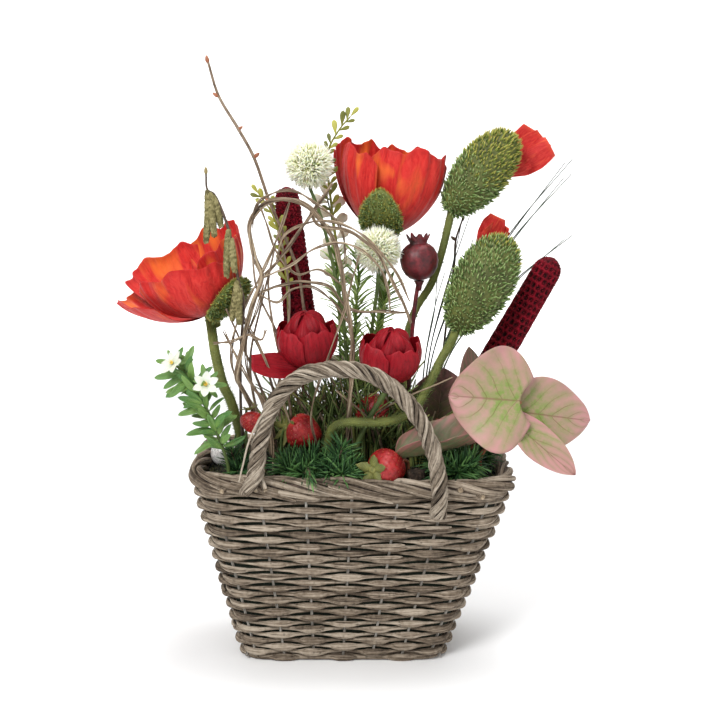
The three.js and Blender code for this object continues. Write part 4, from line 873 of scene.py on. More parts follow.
# ---- petals, pods and hairy stems ------------------------------------------------------
def petal_rule(seat, turn, span, length, start, end, root, lift, ruffle=2.0, seed=1.0, offset=0.0, ragged=0.035,
               crinkle=0.0, point=0.17, power=4.0, notch=0.0, spoon=0.0):
    """A cupped petal. Its slope turns evenly from the start to the end angle off the axis, in
    degrees, so its reach and height are the sine and cosine sums of that arc; the edge is a
    sum of sines, lift tips one side up over its neighbour, spoon draws both sides in and
    crinkles ripple it towards the rim."""
    start = math.radians(start)
    bend = math.radians(end) - start

    def rule(u, v):
        edge = 1 - point * np.abs(u) ** power - notch * np.exp(-((u / 0.18) ** 2)) * v
        s = v * (edge + ragged * (np.sin(9 * u + seed) + 0.3 * np.sin(19 * u + 3 * seed)) * v)
        angle = start + bend * s
        reach = root + offset * np.cos(angle) + length * (math.cos(start) - np.cos(angle)) / bend
        height = length * (np.sin(angle) - math.sin(start)) / bend - offset * np.sin(angle)
        wave = ruffle * s * s * np.sin(4.2 * u + seed)
        wave = wave + crinkle * s * (np.sin(23 * u + 2 * seed + 2 * s) + 0.6 * np.sin(37 * u + 5 * seed - 3 * s)
                                     + 1.3 * np.sin(11 * u + 6 * s + seed) * np.sin(9 * s - 4 * u + 2 * seed))
        out = reach + lift * u * (0.3 + 0.7 * s) + wave - spoon * u * u * (0.25 + 0.75 * s)
        return seat.put(polar(out, turn + span * u, height + wave * 0.4))
    return rule


def cushion(heap, seat, radius, coat):
    """The flat button that the petals grow from."""
    add_turned(heap, seat, [(0, -0.5), (radius, -0.5), (radius + 0.3, 1.2), (radius, 2.5), (radius * 0.8, 5.2),
                            (radius * 0.4, 6.7), (0, 7.0)], 24, coat=coat)


def poppy(side, seat, petals, seed):
    """Crinkled petals, by turn, length, start, end and span, a button and its stamens."""
    rng = np.random.default_rng(seed)
    heap = Heap()
    for k, (turn, length, start, end, span) in enumerate(petals):
        rule = petal_rule(seat, math.radians(turn), span, length, start, end, 6.0, 4.5, seed=1.7 * k,
                          crinkle=0.8, ragged=0.03, point=0.15, power=2.8)
        add_sheet(heap, rule, 61, 55, 0.5, rng.random())
    cushion(heap, seat, 8.0, 1)
    way = sphere_points(90, 0.3, 0.35, 1.0)
    add_many(heap, spike_shape(4, 0.06, 0.25), seat.put(way * [6.4, 6.4, 5.5]), way @ seat.turn.T, UP + 0.1,
             15.0 * rng.uniform(0.7, 1.1, 90), rng.random(90), 2)
    heap.piece(f"poppy_{side}_bloom", "poppy_petal", f"poppy_{side}_petals", [POPPY, HAIRY, DARK_TWIG_AND_CORE_SHADE])


LEFT_POPPY = Seat((-124, 9, 320), (-0.36, -0.12, 0.92))
CENTRE_POPPY = Seat((39, 44, 390), (0.12, -0.06, 1))
poppy("left", LEFT_POPPY, [(-104, 84, 84, 2, 0.98), (-28, 82, 76, -6, 0.86), (48, 90, 74, 0, 0.9),
                           (120, 88, 78, 8, 0.9), (190, 82, 88, 26, 0.9)], 11)
poppy("centre", CENTRE_POPPY, [(-72, 101, 64, -12, 1.02), (-6, 94, 62, -8, 0.86), (66, 97, 64, -12, 0.9),
                               (138, 100, 64, -8, 0.9), (208, 99, 66, -10, 0.8)], 12)


# Heights of the moss, of the ends of the stems in the foam's holes, and of picks in the moss.
MOSS, STEM_END, PICK_END = 168.0, 126.0, 146.0


def add_stem(heap, points, radius, end=STEM_END, count=90, sides=10, tint=0.3, coat=0, tip=1.0):
    """A stem of one thickness that thins to the tip's share at its upper end. A straight foot
    carries it through the moss to its end."""
    x, y = points[-1][:2]
    path = smooth([*points, (x, y, MOSS + 10), (x, y, MOSS), (x, y, end)], count)
    add_rod(heap, path, radius * mix(tip, 1.0, ease(np.linspace(0, 1, count) * 6)), sides, tint, coat)
    return path


def add_hair(heap, path, radius, count, rng):
    """Short hairs all round a stem above the moss, leaning up it."""
    heading, side, other = axes_along(path)
    pick = rng.choice(np.flatnonzero(path[:, 2] > MOSS + 14), count)
    out = spoke(side[pick], other[pick], rng.uniform(0, 2 * np.pi, count))
    shift = unit(heading[pick]) * rng.uniform(-1.5, 1.5, count)[:, None]
    add_many(heap, spike_shape(3, 0.22, 0.0, 0.55), path[pick] + out * radius * 0.9 + shift,
             out - 0.35 * heading[pick], heading[pick], 3.2 * rng.uniform(0.6, 1.2, count), rng.random(count), 1,
             spread=1.6)


def add_prickles(heap, shape, gold, places, ways, ups, shortest, longest, rng):
    """Prickles in two finishes: green ones, and golden ones where the mask says so."""
    for mask, coat in ((~gold, 1), (gold, 2)):
        count = mask.sum()
        add_many(heap, shape, places[mask], ways[mask], np.broadcast_to(ups, ways.shape)[mask],
                 rng.uniform(shortest, longest, count), rng.random(count), coat)


def sepal(heap, seat, shape, rng):
    """A half pod: a thick cupped sheet outside the petals with prickles all over its back and
    along its edges."""
    rule = petal_rule(seat, lift=0.0, ruffle=0.0, ragged=0.0, **shape)
    thick, count, step = 2.2, 760, 1e-3
    add_sheet(heap, rule, 21, 21, thick, 0.35)
    u, v = rng.uniform(-0.97, 0.97, count), np.sqrt(rng.uniform(0.0, 0.95, count))
    uphill = rule(u, v + step) - rule(u, v - step)
    normal = unit(np.cross(rule(u + step, v) - rule(u - step, v), uphill))
    way = normal + 0.6 * unit(uphill) + rng.normal(0, 0.3, (count, 3))
    add_prickles(heap, spike_shape(4, 0.26, 0.2), rng.random(count) < 0.4, rule(u, v) + normal * thick * 0.4, way,
                 unit(uphill), 3.4, 6.0, rng)
    u = np.r_[np.linspace(-1, 1, 60), np.full(40, -1.0), np.full(40, 1.0)]
    v = np.r_[np.ones(60), np.linspace(0.2, 1, 40), np.linspace(0.2, 1, 40)]
    rim = rule(u, v)
    lead = unit(rim - rule(u * 0.9, v * 0.93))
    add_many(heap, spike_shape(4, 0.34, 0.12), rim - lead * 0.6, lead, UP + 0.01, rng.uniform(2.5, 4.4, len(rim)),
             rng.random(len(rim)), 2)


def cup(heap, seat, radius):
    """The flared top of a stem, under its flower."""
    flare_out = [(radius * x, radius * z) for x, z in ((0, -2.3), (0.6, -2.2), (0.85, -1.3), (1, -0.5))]
    add_turned(heap, seat, [*flare_out, (radius, -0.9), (0, -0.9)], 20, tint=0.4)


def poppy_stem(side, seat, points, radius, cup_radius, shape, seed):
    """A hairy stem, the cup at its top and the sepal outside the petals."""
    rng = np.random.default_rng(seed)
    heap = Heap()
    path = add_stem(heap, points, radius, count=110, sides=12)
    add_hair(heap, path, radius, 1300, rng)
    cup(heap, seat, cup_radius)
    sepal(heap, seat, shape, rng)
    heap.piece(f"poppy_{side}_stem_hairy", "poppy_green", f"poppy_{side}_stem", [HAIRY, PRICKLE, PRICKLE_GOLD])


poppy_stem("left", LEFT_POPPY, [
    (-124.5, 9, 314), (-122, 2, 302), (-118, -10, 284), (-110, -20, 256), (-104, -20, 243), (-97, -14, 214),
    (-95, -12, 196)], 4.6, 7.0,
    dict(turn=math.radians(-48), span=0.62, length=62, start=88, end=28, root=4, offset=6, point=0.4,
         power=1.8), 21)
poppy_stem("centre", CENTRE_POPPY, [
    (39, 44, 383), (38, 43, 360), (36, 42, 310), (30, 40, 250), (26, 38, 196)], 3.4, 6.0,
    dict(turn=math.radians(-100), span=0.66, length=69, start=72, end=14, root=3, offset=5.1, point=0.6,
         power=1.5), 22)

# Each bud pod's foot, axis, length and radius.
BUD_TOP = (99, 24, 412), (0.63, 0, 0.78), 92.0, 27.0
BUD_RIGHT = (104, -5, 304), (0.48, 0, 0.88), 98.0, 30.0


def pod(side, shape, points, stem_radius, gold, seed):
    """An egg, its swell sin(a)(1 - 0.08 cos(a)), under a dense coat of short curved prickles
    that lean towards the tip; they are golden beyond the share gold of the length."""
    rng = np.random.default_rng(seed)
    heap = Heap()
    foot, axis, length, radius = shape
    seat = Seat(foot, axis)
    core = radius - 3.6

    def swell(a):
        return core * np.sin(a) * (1 - 0.08 * np.cos(a)), length * (1 - np.cos(a)) / 2

    add_turned(heap, seat, np.stack(swell(np.linspace(0, np.pi, 32)), 1), 36, tint=0.1)
    count = 1250
    way = unit(sphere_points(count, 0.0, -0.985, 0.995) + rng.normal(0, 0.025, (count, 3)))
    a, turn = np.arccos(-way[:, 2]), np.arctan2(way[:, 1], way[:, 0])
    r, height = swell(a)
    local = polar(r, turn, height)
    out = unit(polar(np.sin(a) * length / 2, turn, -np.cos(a) * core))
    heading = (out + 0.5 * UP + rng.normal(0, 0.3, (count, 3))) @ seat.turn.T
    bright = (height / length + rng.normal(0, 0.08, count)) > gold
    add_prickles(heap, spike_shape(4, 0.34, 0.2, 0.66), bright, seat.put(local - out * 0.3), heading,
                 seat.turn[:, 2] + 0.01, 4.2, 6.4, rng)
    path = add_stem(heap, points, stem_radius, count=120, sides=12)
    add_hair(heap, path, stem_radius, 1700, rng)
    heap.piece(f"bud_{side}_prickly", "poppy_green", f"bud_{side}_pod", [HAIRY, PRICKLE, PRICKLE_GOLD])


pod("top", BUD_TOP, [
    (102, 24, 416), (98, 23.5, 397), (92, 23, 372), (83, 22, 345), (68, 20, 320), (57, 18, 280),
    (53, 16, 230), (52, 15, 196)], 3.6, 0.5, 31)
pod("right", BUD_RIGHT, [
    (107, -5, 310), (101, -9, 296), (90, -16, 278), (77, -27, 254), (67, -34, 238), (55, -37, 230),
    (36, -41, 226), (4, -42, 226), (-8, -39, 221), (-13, -35, 208), (-14, -33, 194)], 4.1, 0.93, 32)


def leaf_rule(origin, direction, up, length, width, curl=0.0, fold=0.0, wave=0.0, seed=1.0, notch=0.0, fine=0.0):
    """A broad leaf: it leaves its foot along the direction and curls by an even arc, its half
    width is width(v), its two halves fold up, its edges ripple by sines and the notch draws
    the foot of its middle forward."""
    forward = unit(direction)
    side = unit(np.cross(forward, up))
    above = np.cross(side, forward)

    def rule(u, v):
        if abs(curl) < 1e-3:
            run, rise = v, 0 * v
        else:
            run, rise = np.sin(curl * v) / curl, (1 - np.cos(curl * v)) / curl
        half = width(v)
        ripple = (wave * u * u * np.sin(7 * v + 2.5 * u + seed)
                  + fine * np.abs(u) ** 3 * np.sin(19 * v + 4 * u + seed))
        back = notch * u * u * (1 - v) ** 2
        return (origin + (length * run - back)[..., None] * forward + (half * u)[..., None] * side
                + (length * rise + fold * half * np.abs(u) + ripple)[..., None] * above)
    return rule


def flare(most):
    """A petal's half width along it: a sine hump on top of 0.3, fullest past its middle."""
    return lambda v: most * (0.3 + 0.75 * np.sin(np.pi * (0.1 + 0.72 * v)))


def bud_petals(side, shape, along, out, lean, petals, seed):
    """Crumpled petals bursting out beside the pod's tip from one knob."""
    rng = np.random.default_rng(seed)
    heap = Heap()
    knob = np.array(shape[0]) + unit(shape[1]) * along + unit(lean) * out
    add_turned(heap, Seat(knob), ball(4.3, 12), 16, tint=0.5)
    for direction, up, length, most, curl, fold, turn in petals:
        rule = leaf_rule(knob, direction, up, length, flare(most), curl, fold, 2.6, turn, 0.0, 1.3)
        add_sheet(heap, rule, 31, 31, 0.5, rng.random())
    heap.piece(f"bud_{side}_silk", "poppy_petal", f"bud_{side}_petals", [BUD_SILK])


bud_petals("top", BUD_TOP, 66, 30.6, (0.5, 0.77, -0.4), [
    ((0.84, -0.05, 0.46), (0.1, -1, 0.3), 46, 14, 0.25, -0.3, 1),
    ((0.50, 0, 0.87), (0.1, -0.95, 0.2), 45, 12, -0.2, 0, 3),
    ((0.72, 0.08, 0.62), (0.1, -1, 0.2), 45, 14, 0.1, 0.25, 5)], 41)
bud_petals("right", BUD_RIGHT, 78, 33.1, (-0.3, 0.9, 0.16), [
    ((0.42, -0.05, 0.9), (0.1, -1, 0.2), 34, 11, 0.3, -0.3, 1),
    ((0.75, 0.05, 0.66), (0.1, -1, 0.2), 30, 9, -0.3, 0, 3),
    ((0.6, 0.08, 0.8), (0.3, -1, 0.2), 30, 10, 0.2, 0.3, 5)], 42)


# ---- peonies ---------------------------------------------------------------------------
def plain_stem(node, points, radius, seat=None, cup_radius=0.0):
    """A smooth stalk, with a cup where a flower sits on it."""
    heap = Heap()
    add_stem(heap, points, radius, STEM_END, 80, 9)
    if seat:
        cup(heap, seat, cup_radius)
    heap.piece(node.replace("_stem", "_stalk"), "stem_green", node, [STALK])


def peony(side, seat, droops, seed):
    """Closed double bloom: tiers of broad cupped petals, every petal tipped up over its
    neighbour; the inner tiers are raised on the axis and curl over into balls."""
    rng = np.random.default_rng(seed)
    heap = Heap()
    tiers = [(3, 31, 50, -100, 0.95, 1.3, 6.0, 4.0, 29.0), (4, 43, 62, -86, 0.80, 0.35, 9.0, 6.0, 20.0),
             (5, 61, 68, -70, 0.64, 0.75, 8.0, 7.0, 0.0), (5, 53, 82, -34, 0.74, 0.2, 7.0, 3.5, 0.0)]
    for tier, (count, length, start, end, span, first, root, spoon, up) in enumerate(tiers):
        raised = Seat(seat.put([0, 0, up]), seat.turn[:, 2])
        for k in range(count):
            turn = first + 2 * np.pi * k / count + 0.12 * math.sin(5 * k + tier)
            rule = petal_rule(raised, turn, span, length * rng.uniform(0.93, 1.0), start, end, root, 2.4, 1.5,
                              k + 2 * tier, ragged=0.016, crinkle=0.22, point=0.20, power=2.6, notch=0.03,
                              spoon=spoon)
            add_sheet(heap, rule, 31, 31, 0.7, rng.random())
    for origin, direction, length, most in droops:
        rule = leaf_rule(origin, direction, (0.1, -0.85, 0.75), length, flare(most), 0.35, 0.3, 1.6, 2.0)
        add_sheet(heap, rule, 25, 25, 0.8, 0.3)
    cushion(heap, seat, 12.0, 0)
    heap.piece(f"peony_{side}_bloom", "peony_petal", f"peony_{side}_petals", [PEONY])


LEFT_PEONY = Seat((-30, -26, 277), (-0.06, -0.2, 1))
RIGHT_PEONY = Seat((43, -26, 263), (0.05, -0.26, 1))
peony("left", LEFT_PEONY, [((-26, -34, 273), (-1, -0.12, 0.03), 58, 12.5)], 51)
peony("right", RIGHT_PEONY, [], 52)
plain_stem("peony_left_stem", [(-29.8, -25, 271), (-29, -20, 256), (-26, -7, 232), (-24, -1, 196)], 2.6,
           LEFT_PEONY, 5.0)
plain_stem("peony_right_stem", [(42.8, -25, 257), (36, -28, 246), (22, -30, 222), (12, -29.5, 196)], 2.6,
           RIGHT_PEONY, 5.0)


# ---- capsule, spikes and white heads ---------------------------------------------------
def capsule():
    """A round pod whose ribs show as shallow grooves, with a crown of nine uneven teeth."""
    heap = Heap()
    outline = [(0, -18.6), (5.6, -18), (9.6, -16.4), (13.6, -12.6), (16.7, -7), (18, 0), (17.3, 5.6), (14.8, 10.6),
               (11.4, 13.8), (8.8, 15.2), (8.0, 16), (8.8, 18.4), (10.4, 21), (10.2, 22.4), (9.2, 21.8), (7.8, 19.2),
               (6.2, 16.6), (0, 16)]

    def teeth(angle, row):
        wave = np.cos(9 * angle) + 0.5 * np.sin(4 * angle)
        crown = np.where((row >= 11) & (row <= 14), 1.0, 0.0)
        ribs = np.where(row < 9, -0.35 * np.abs(np.cos(5 * angle)) ** 6, 0.0)
        return crown * 0.9 * wave + ribs, crown * 2.0 * wave
    add_turned(heap, Seat((70.5, 2, 369.5), (-0.05, 0, 1)), outline, 72, teeth, tint=0.5)
    neck = [(0, 0), (2.1, 0.2), (2.5, 4), (4.2, 8), (5.4, 9.5), (0, 10)]
    add_turned(heap, Seat((71.0, 2, 341), (-0.02, 0, 1)), neck, 20, tint=0.2)
    add_stem(heap, [(70.8, 2, 353), (67, 5, 326), (63, 7, 270), (61, 7, 196)], 2.0)
    heap.piece("seed_capsule_pod", "capsule", "seed_capsule", [CAPSULE_SKIN])


def spike(side, foot, tip, radius, thin, points, seed, rows_of_cells, ragged, knobs, knob, relief):
    """A cob of cells: the radius narrows from the foot to a domed tip, and is raised by the
    ridges of a staggered lattice of cups, |sin| along and round, with small knobs on it. Its tint
    follows the ridge height, which its finish turns into painted light on the ridges and painted
    shade in the cups."""
    rng = np.random.default_rng(seed)
    heap = Heap()
    foot, tip = np.array(foot, float), np.array(tip, float)
    long = np.linalg.norm(tip - foot)
    cells = 15
    rows = 6 * rows_of_cells

    def reach(v):
        dome = np.sqrt(np.clip(1 - np.clip((v - 0.9) / 0.1, 0, 1) ** 2, 0, 1))
        return radius * dome * np.minimum(1, 0.45 + 7 * v) * mix(1, thin, v)

    v = np.linspace(0, 1, rows + 2)
    profile = np.stack([reach(v) - 0.6 * (v < 1), long * v], 1)
    profile[[0, -1], 0] = 0

    def lattice(angle, row):
        s = row / rows * rows_of_cells
        hollow = (np.sin(np.pi * (s % 1)) * np.abs(np.sin(angle * cells / 2 + 0.5 * np.pi * np.floor(s)))) ** 0.8
        fade = np.minimum(1, 12 * (1 - row / rows))
        return (1.9 - 3.4 * hollow) * fade * relief, 0 * angle * s
    seat = Seat(foot, tip - foot)
    # The tint follows the ridge height, so the lattice's finish paints light on the ridges and shade in the hollows.
    ridge = lattice(turns(6 * cells)[None, :], np.arange(1, rows + 1)[:, None])[0]
    add_turned(heap, seat, profile, 6 * cells, lattice, tint=np.r_[ridge.ravel() / 3.4 + 0.45, 0.5, 0.9], coat=1)
    k = np.arange(knobs)
    s = mix(0.02, 0.985, (k + 0.5) / knobs)
    turn = GOLDEN * k + rng.normal(0, 0.1, knobs)
    out = unit(polar(1, turn, 0.9 * (s > 0.93)))
    local = polar(reach(s) + 0.9, turn, long * s)
    way = (out + rng.normal(0, ragged, (knobs, 3))) @ seat.turn.T
    add_many(heap, spike_shape(5, 0.8, 0.1, 0.95), seat.put(local - out * 1.2), way, seat.turn[:, 2] + 0.01,
             rng.uniform(0.9, 1.5, knobs) * knob, rng.random(knobs), spread=knob)
    add_stem(heap, points, 2.6, tint=0.2)
    heap.piece(f"red_spike_{side}_cob", "spike", f"red_spike_{side}", [SPIKE_KNOBS, SPIKE_LATTICE_SHADED])


def pompom(side, centre, radius, seed):
    """A ball under 1,500 slender curled florets that lean every way a little."""
    rng = np.random.default_rng(seed)
    heap = Heap()
    core = 0.70 * radius
    add_turned(heap, Seat(centre), ball(core, 16), 24, tint=0.25)
    count = 1500
    way = sphere_points(count, 0.7)
    heading = unit(way + rng.normal(0, 0.33, (count, 3)) + 0.08 * UP)
    add_many(heap, spike_shape(4, 0.15, 0.3, 0.95), np.array(centre) + way * core * 0.95, heading,
             np.cross(way, rng.normal(0, 1, (count, 3))), rng.uniform(0.30, 0.50, count) * radius + 1.0,
             rng.random(count))
    under = Seat(np.array(centre) - radius * UP)
    add_turned(heap, under, [(0, 0), (1.6, 0.2), (2.4, 3), (3.4, 7), (0, 9)], 12, tint=0.1, coat=1)
    heap.piece(f"white_pompom_{side}_head", "pompom", f"white_pompom_{side}_flower", [WHITE_FLORET, STALK])


capsule()
spike("left", (-40, 30, 296), (-53.5, 30, 436), 15.0, 0.68,
      [(-40.4, 30, 300), (-38, 29, 250), (-36, 28, 196)], 61, 24, 0.5, 3000, 1.75, 0.35)
spike("right", (127, 25, 240), (199, 25, 369.5), 14.6, 0.86,
      [(129, 25, 243), (119, 25, 228), (105, 23, 206), (99, 20, 190)], 62, 22, 0.4, 1500, 1.3, 0.7)
pompom("top", (-30, -4, 457), 21.0, 63)
pompom("mid", (32.5, -8, 380), 20.0, 64)
plain_stem("white_pompom_top_stem", [
    (-29.8, -4, 436.2), (-24, -3, 422), (-17, -2, 400), (-8, 1, 360), (1, 3, 310), (6, 5, 196)], 1.6)
plain_stem("white_pompom_mid_stem", [
    (32.6, -8, 360.5), (32, -4, 345), (28, 4, 312), (23, 14, 260), (20, 20, 196)], 1.7)


# ---- leafy sprigs and needles ----------------------------------------------------------
def sprig(node, slot, points, pairs, last, size, width, seed, coat, spread=1.1, stalk=None):
    """A thin stem with spoon-shaped leaflets in pairs down from its tip."""
    rng = np.random.default_rng(seed)
    heap = Heap()
    path = add_stem(heap, points, 1.2, count=160, sides=8, tip=0.6, coat=1)
    heading = -axes_along(path)[0]
    facing = unit(np.array([0, -1, 0.2]))
    top = np.flatnonzero(run_of(path) < last)[-1]
    spots = np.linspace(2, top, 2 * pairs).astype(int)
    hand = np.where(np.arange(len(spots)) % 2, 1.0, -1.0)
    side = unit(np.cross(heading[spots], facing)) * hand[:, None] * spread
    way = heading[spots] + side + rng.normal(0, 0.2, (len(spots), 3))
    shape = leaf_shape(width / size, 5, 9, 0.08, 0.15, 0.1, 0.14, 0.72)
    add_many(heap, shape, path[spots], way, facing, size * rng.uniform(0.75, 1.15, len(spots)),
             rng.random(len(spots)))
    add_many(heap, shape, path[:1], heading[:1], facing, size * 0.9, 0.8)
    heap.piece(f"{node}_leaflets", slot, node, [coat, stalk or coat])


sprig("sprig_top", "sprig", [
    (7, 24, 500), (-4, 24, 487), (-14, 25, 466), (-11, 28, 420), (0, 35, 330), (4, 38, 196)],
    11, 100.0, 13.0, 4.6, 71, SPRIG_LEAF, 0.75)
sprig("sprig_left", "sprig", [
    (-77, 6, 430), (-66, 7, 414), (-58, 8, 390), (-52, 9, 345), (-50, 8, 280), (-48, 8, 196)],
    10, 92.0, 12.0, 4.4, 72, SPRIG_LEAF, 0.75)
sprig("cream_spray", "cream_leaf", [
    (-15, 44, 424), (-11.5, 45, 408), (-7, 47, 380), (-4, 50, 300), (-2, 52, 196)],
    6, 84.0, 17.0, 10.0, 73, CREAM_LEAF, 1.6, STALK)


def add_needles(heap, path, first, last, count, length, width, lean, rng, curve=0.2):
    """Slim needles all round a stem between two shares of its length, by the golden angle."""
    heading, side, other = axes_along(path)
    at = (np.linspace(first, last, count) * (len(path) - 1)).astype(int)
    out = spoke(side[at], other[at], GOLDEN * np.arange(count) + rng.normal(0, 0.2, count))
    way = out + heading[at] * lean + rng.normal(0, 0.12, (count, 3))
    shape = leaf_shape(width / length, 3, 6, 0.045, 0.2, -curve, 0.6, 0.4, 0.05)
    add_many(heap, shape, path[at], way, -heading[at] + 0.01, length * rng.uniform(0.72, 1.1, count),
             rng.random(count))


def rosemary():
    """Three stems from one foot with slim needles all round them."""
    rng = np.random.default_rng(81)
    heap = Heap()
    for points in ([(8, 19, 238), (2, 18, 290), (-4, 17, 335), (-7, 16, 372)],
                   [(8, 19, 238), (11, 18, 300), (14, 17, 340), (15, 17, 376)],
                   [(8, 19, 238), (21, 20, 270), (35, 17, 312), (42, 16, 344)]):
        path = smooth(points, 120)
        add_rod(heap, path, 1.3 * np.linspace(1, 0.6, 120), 8, 0.3, 1)
        add_needles(heap, path, 0.0, 1.0, 110, 23.0, 3.2, 1.1, rng)
    add_stem(heap, [(8, 19, 243), (8, 20, 196)], 1.6, coat=1)
    heap.piece("rosemary_needles", "needle_green", "rosemary_spray", [NEEDLE, STALK])


TUFTS = [
    ("left", [(-97, -45, 178), (-99, -46, 190), (-100, -47, 202)], 14.0, 91),
    ("front", [(-38, -50, 178), (-34, -51, 187), (-25, -53, 194)], 19.0, 92),
    ("middle", [(-3, -56, 178), (-4, -56, 192), (0, -54, 206)], 17.0, 93),
    ("right", [(101, -46, 178), (107, -48, 185), (117, -50, 190)], 19.0, 94),
    ("end", [(123, -2, 178), (129, -2, 187), (137, -2, 194)], 15.0, 95)]


def tuft(name, points, length, seed):
    """A short stem that parts into seven twigs, each a fan of long needles by the golden
    angle that lean up the twig."""
    rng = np.random.default_rng(seed)
    heap = Heap()
    x, y = points[0][:2]
    path = smooth([(x, y, PICK_END), (x, y, MOSS), *points], 100)
    add_rod(heap, path, 1.5, 8, 0.2, 1)
    add_needles(heap, path, 0.6, 1.0, 70, 1.3 * length, 1.7, 1.0, rng, curve=0.15)
    for k in range(7):
        turn = 2 * np.pi * k / 7 + 0.45
        if name == "left" and math.cos(turn) < -0.2:
            continue
        side = np.array([math.cos(turn), 0.75 * math.sin(turn), 0])
        base = np.array([x, y, 175.0])
        rise = 15 if math.sin(turn) > -0.3 else 9
        bow = base + side * 0.4 * length + 0.45 * rise * UP
        twig = smooth([base, bow, base + side * 0.85 * length + rise * UP], 40)
        add_rod(heap, twig, 0.9, 6, 0.2, 1)
        add_needles(heap, twig, 0.15, 1.0, 50, 1.3 * length, 1.6, 1.0, rng, curve=0.15)
    if name == "front":
        twig = smooth([(-34, -58, 180), (-31, -70, 191), (-29, -84, 192), (-27, -91.5, 186)], 40)
        add_rod(heap, twig, 0.9, 6, 0.2, 1)
        add_needles(heap, twig, 0.2, 1.0, 46, 14.0, 1.5, 1.7, rng, curve=-0.2)
    heap.piece(f"fir_tuft_{name}_needles", "fir", f"fir_tuft_{name}", [FIR_NEEDLE, TWIG])


rosemary()
for tuft_values in TUFTS:
    tuft(*tuft_values)


# ---- star flowers ----------------------------------------------------------------------
STARS = {"front": ((-118.9, -79.2, 268), (0.1, -0.85, 0.5)), "side": ((-147.2, -74.2, 285.8), (-0.55, -0.6, 0.6))}


def star_sprig():
    """A leafy stem: oval leaves with a folded midrib face the front, all the way down."""
    rng = np.random.default_rng(101)
    heap = Heap()
    trunk = [(-140, -66, 279), (-128, -69, 262), (-119, -68, 242), (-109, -64, 214), (-103, -59, 190)]
    path = add_stem(heap, trunk, 1.5, PICK_END, 120, 8, coat=1)
    heading = -axes_along(path)[0]
    count = 62
    spots = np.linspace(0, np.flatnonzero(path[:, 2] > 206)[-1], count).astype(int)
    flat = unit(np.cross(heading[spots], [0, -1, 0.3]))
    way = spoke(flat, np.cross(heading[spots], flat), 2.4 * np.arange(count))
    way[:, 1] = -0.6 * np.abs(way[:, 1]) + 0.7 * (np.arange(count) % 3 == 2)
    way = way * 1.2 + heading[spots] * rng.uniform(0.3, 1.1, count)[:, None] + rng.normal(0, 0.25, (count, 3))
    shape = leaf_shape(0.27, 9, 13, 0.03, 0.35, 0.16, 0.12, 0.42)
    facing = np.array([0, -1, 0.4])
    add_many(heap, shape, path[spots], way, facing + rng.normal(0, 0.35, (count, 3)), rng.uniform(17, 27, count),
             rng.random(count))
    for k, (centre, axis) in enumerate(STARS.values()):
        under = np.array(centre) - unit(axis) * 0.6
        start = path[2 if k else 22]
        bow = start + (under - start) * 0.6 - np.array(axis)
        add_rod(heap, smooth([start, bow, under], 20), 1.1, 7, 0.4, 1)
        turn = 2 * np.pi * (np.arange(7) + 0.3 * k) / 7
        way = polar(1, turn, 0.35)[:, [0, 2, 1]]
        add_many(heap, shape, under + [0, 3.5, -1] + 0 * way, way, facing, rng.uniform(15, 21, 7), rng.random(7))
    heap.piece("star_sprig_foliage", "star_leaf", "star_sprig_leaves", [STAR_LEAF, STALK])


def star_flower(name, centre, axis):
    """Six notched petals round a small throat, and the yellow stamens over it."""
    rng = np.random.default_rng(103)
    heap, middle = Heap(), Heap()
    seat = Seat(centre, axis)
    for k in range(6):
        turn = 2 * np.pi * (k + 0.5) / 6

        def rule(u, v, turn=turn):
            half = 0.9 + 2.7 * np.sin(np.pi * (0.12 + 0.66 * v)) - 1.9 * v**6
            reach = 0.6 + 11.6 * v * (1 - 0.16 * np.exp(-((u / 0.25) ** 2)) * v**3 - 0.12 * u**4 * v)
            rise = 0.45 + 0.24 * reach + 0.5 * u * u - 0.05 * k
            return seat.put(swung(reach, half * u, rise, turn))
        add_sheet(heap, rule, 13, 15, 0.4, tint=0.15 * k)
    heap.piece(f"star_flower_{name}_petals", "star_petal", f"star_flower_{name}", [STAR_PETAL])
    way = sphere_points(16, 0.4, 0.25, 1.0)
    add_turned(middle, seat, [(0, 1.7), (1.2, 1.8), (1.5, 2.4), (0.9, 3.2), (0, 3.4)], 12)
    add_many(middle, spike_shape(5, 0.16, 0.1, 1.3), seat.put(way * 0.8 + [0, 0, 2.4]), way @ seat.turn.T, UP + 0.1,
             rng.uniform(2.0, 3.0, 16), rng.random(16))
    middle.piece(f"star_centre_{name}_stamens", "star_centre", f"star_centre_{name}", [STAMEN])


star_sprig()
for star_name, star_place in STARS.items():
    star_flower(star_name, *star_place)


# ---- strawberries ----------------------------------------------------------------------
CALYX = {"front": ((0.35, 0.93, -0.05), 5, 0.86, 0.30), "left": ((0.75, 0.65, -0.1), 7, 1.15, 0.17)}
BERRIES = [
    ("left", (-52, -25, 218), (1, -0.1, -0.28), 33.0, 16.0, (-57, -23, 205), (-57, -22)),
    ("middle", (43, 4, 232), (-1, -0.35, -0.28), 33.0, 15.6, (46, 7, 214), (46, 9)),
    ("front", (27, -68, 189.5), (0.78, 0.60, -0.14), 35.0, 17.6, (24, -64, 183), (19, -54)),
    ("far", (-84, -46, 238), (0.2, -0.2, -1), 20.0, 10.0, (-88, -34, 234), (-88, -31))]


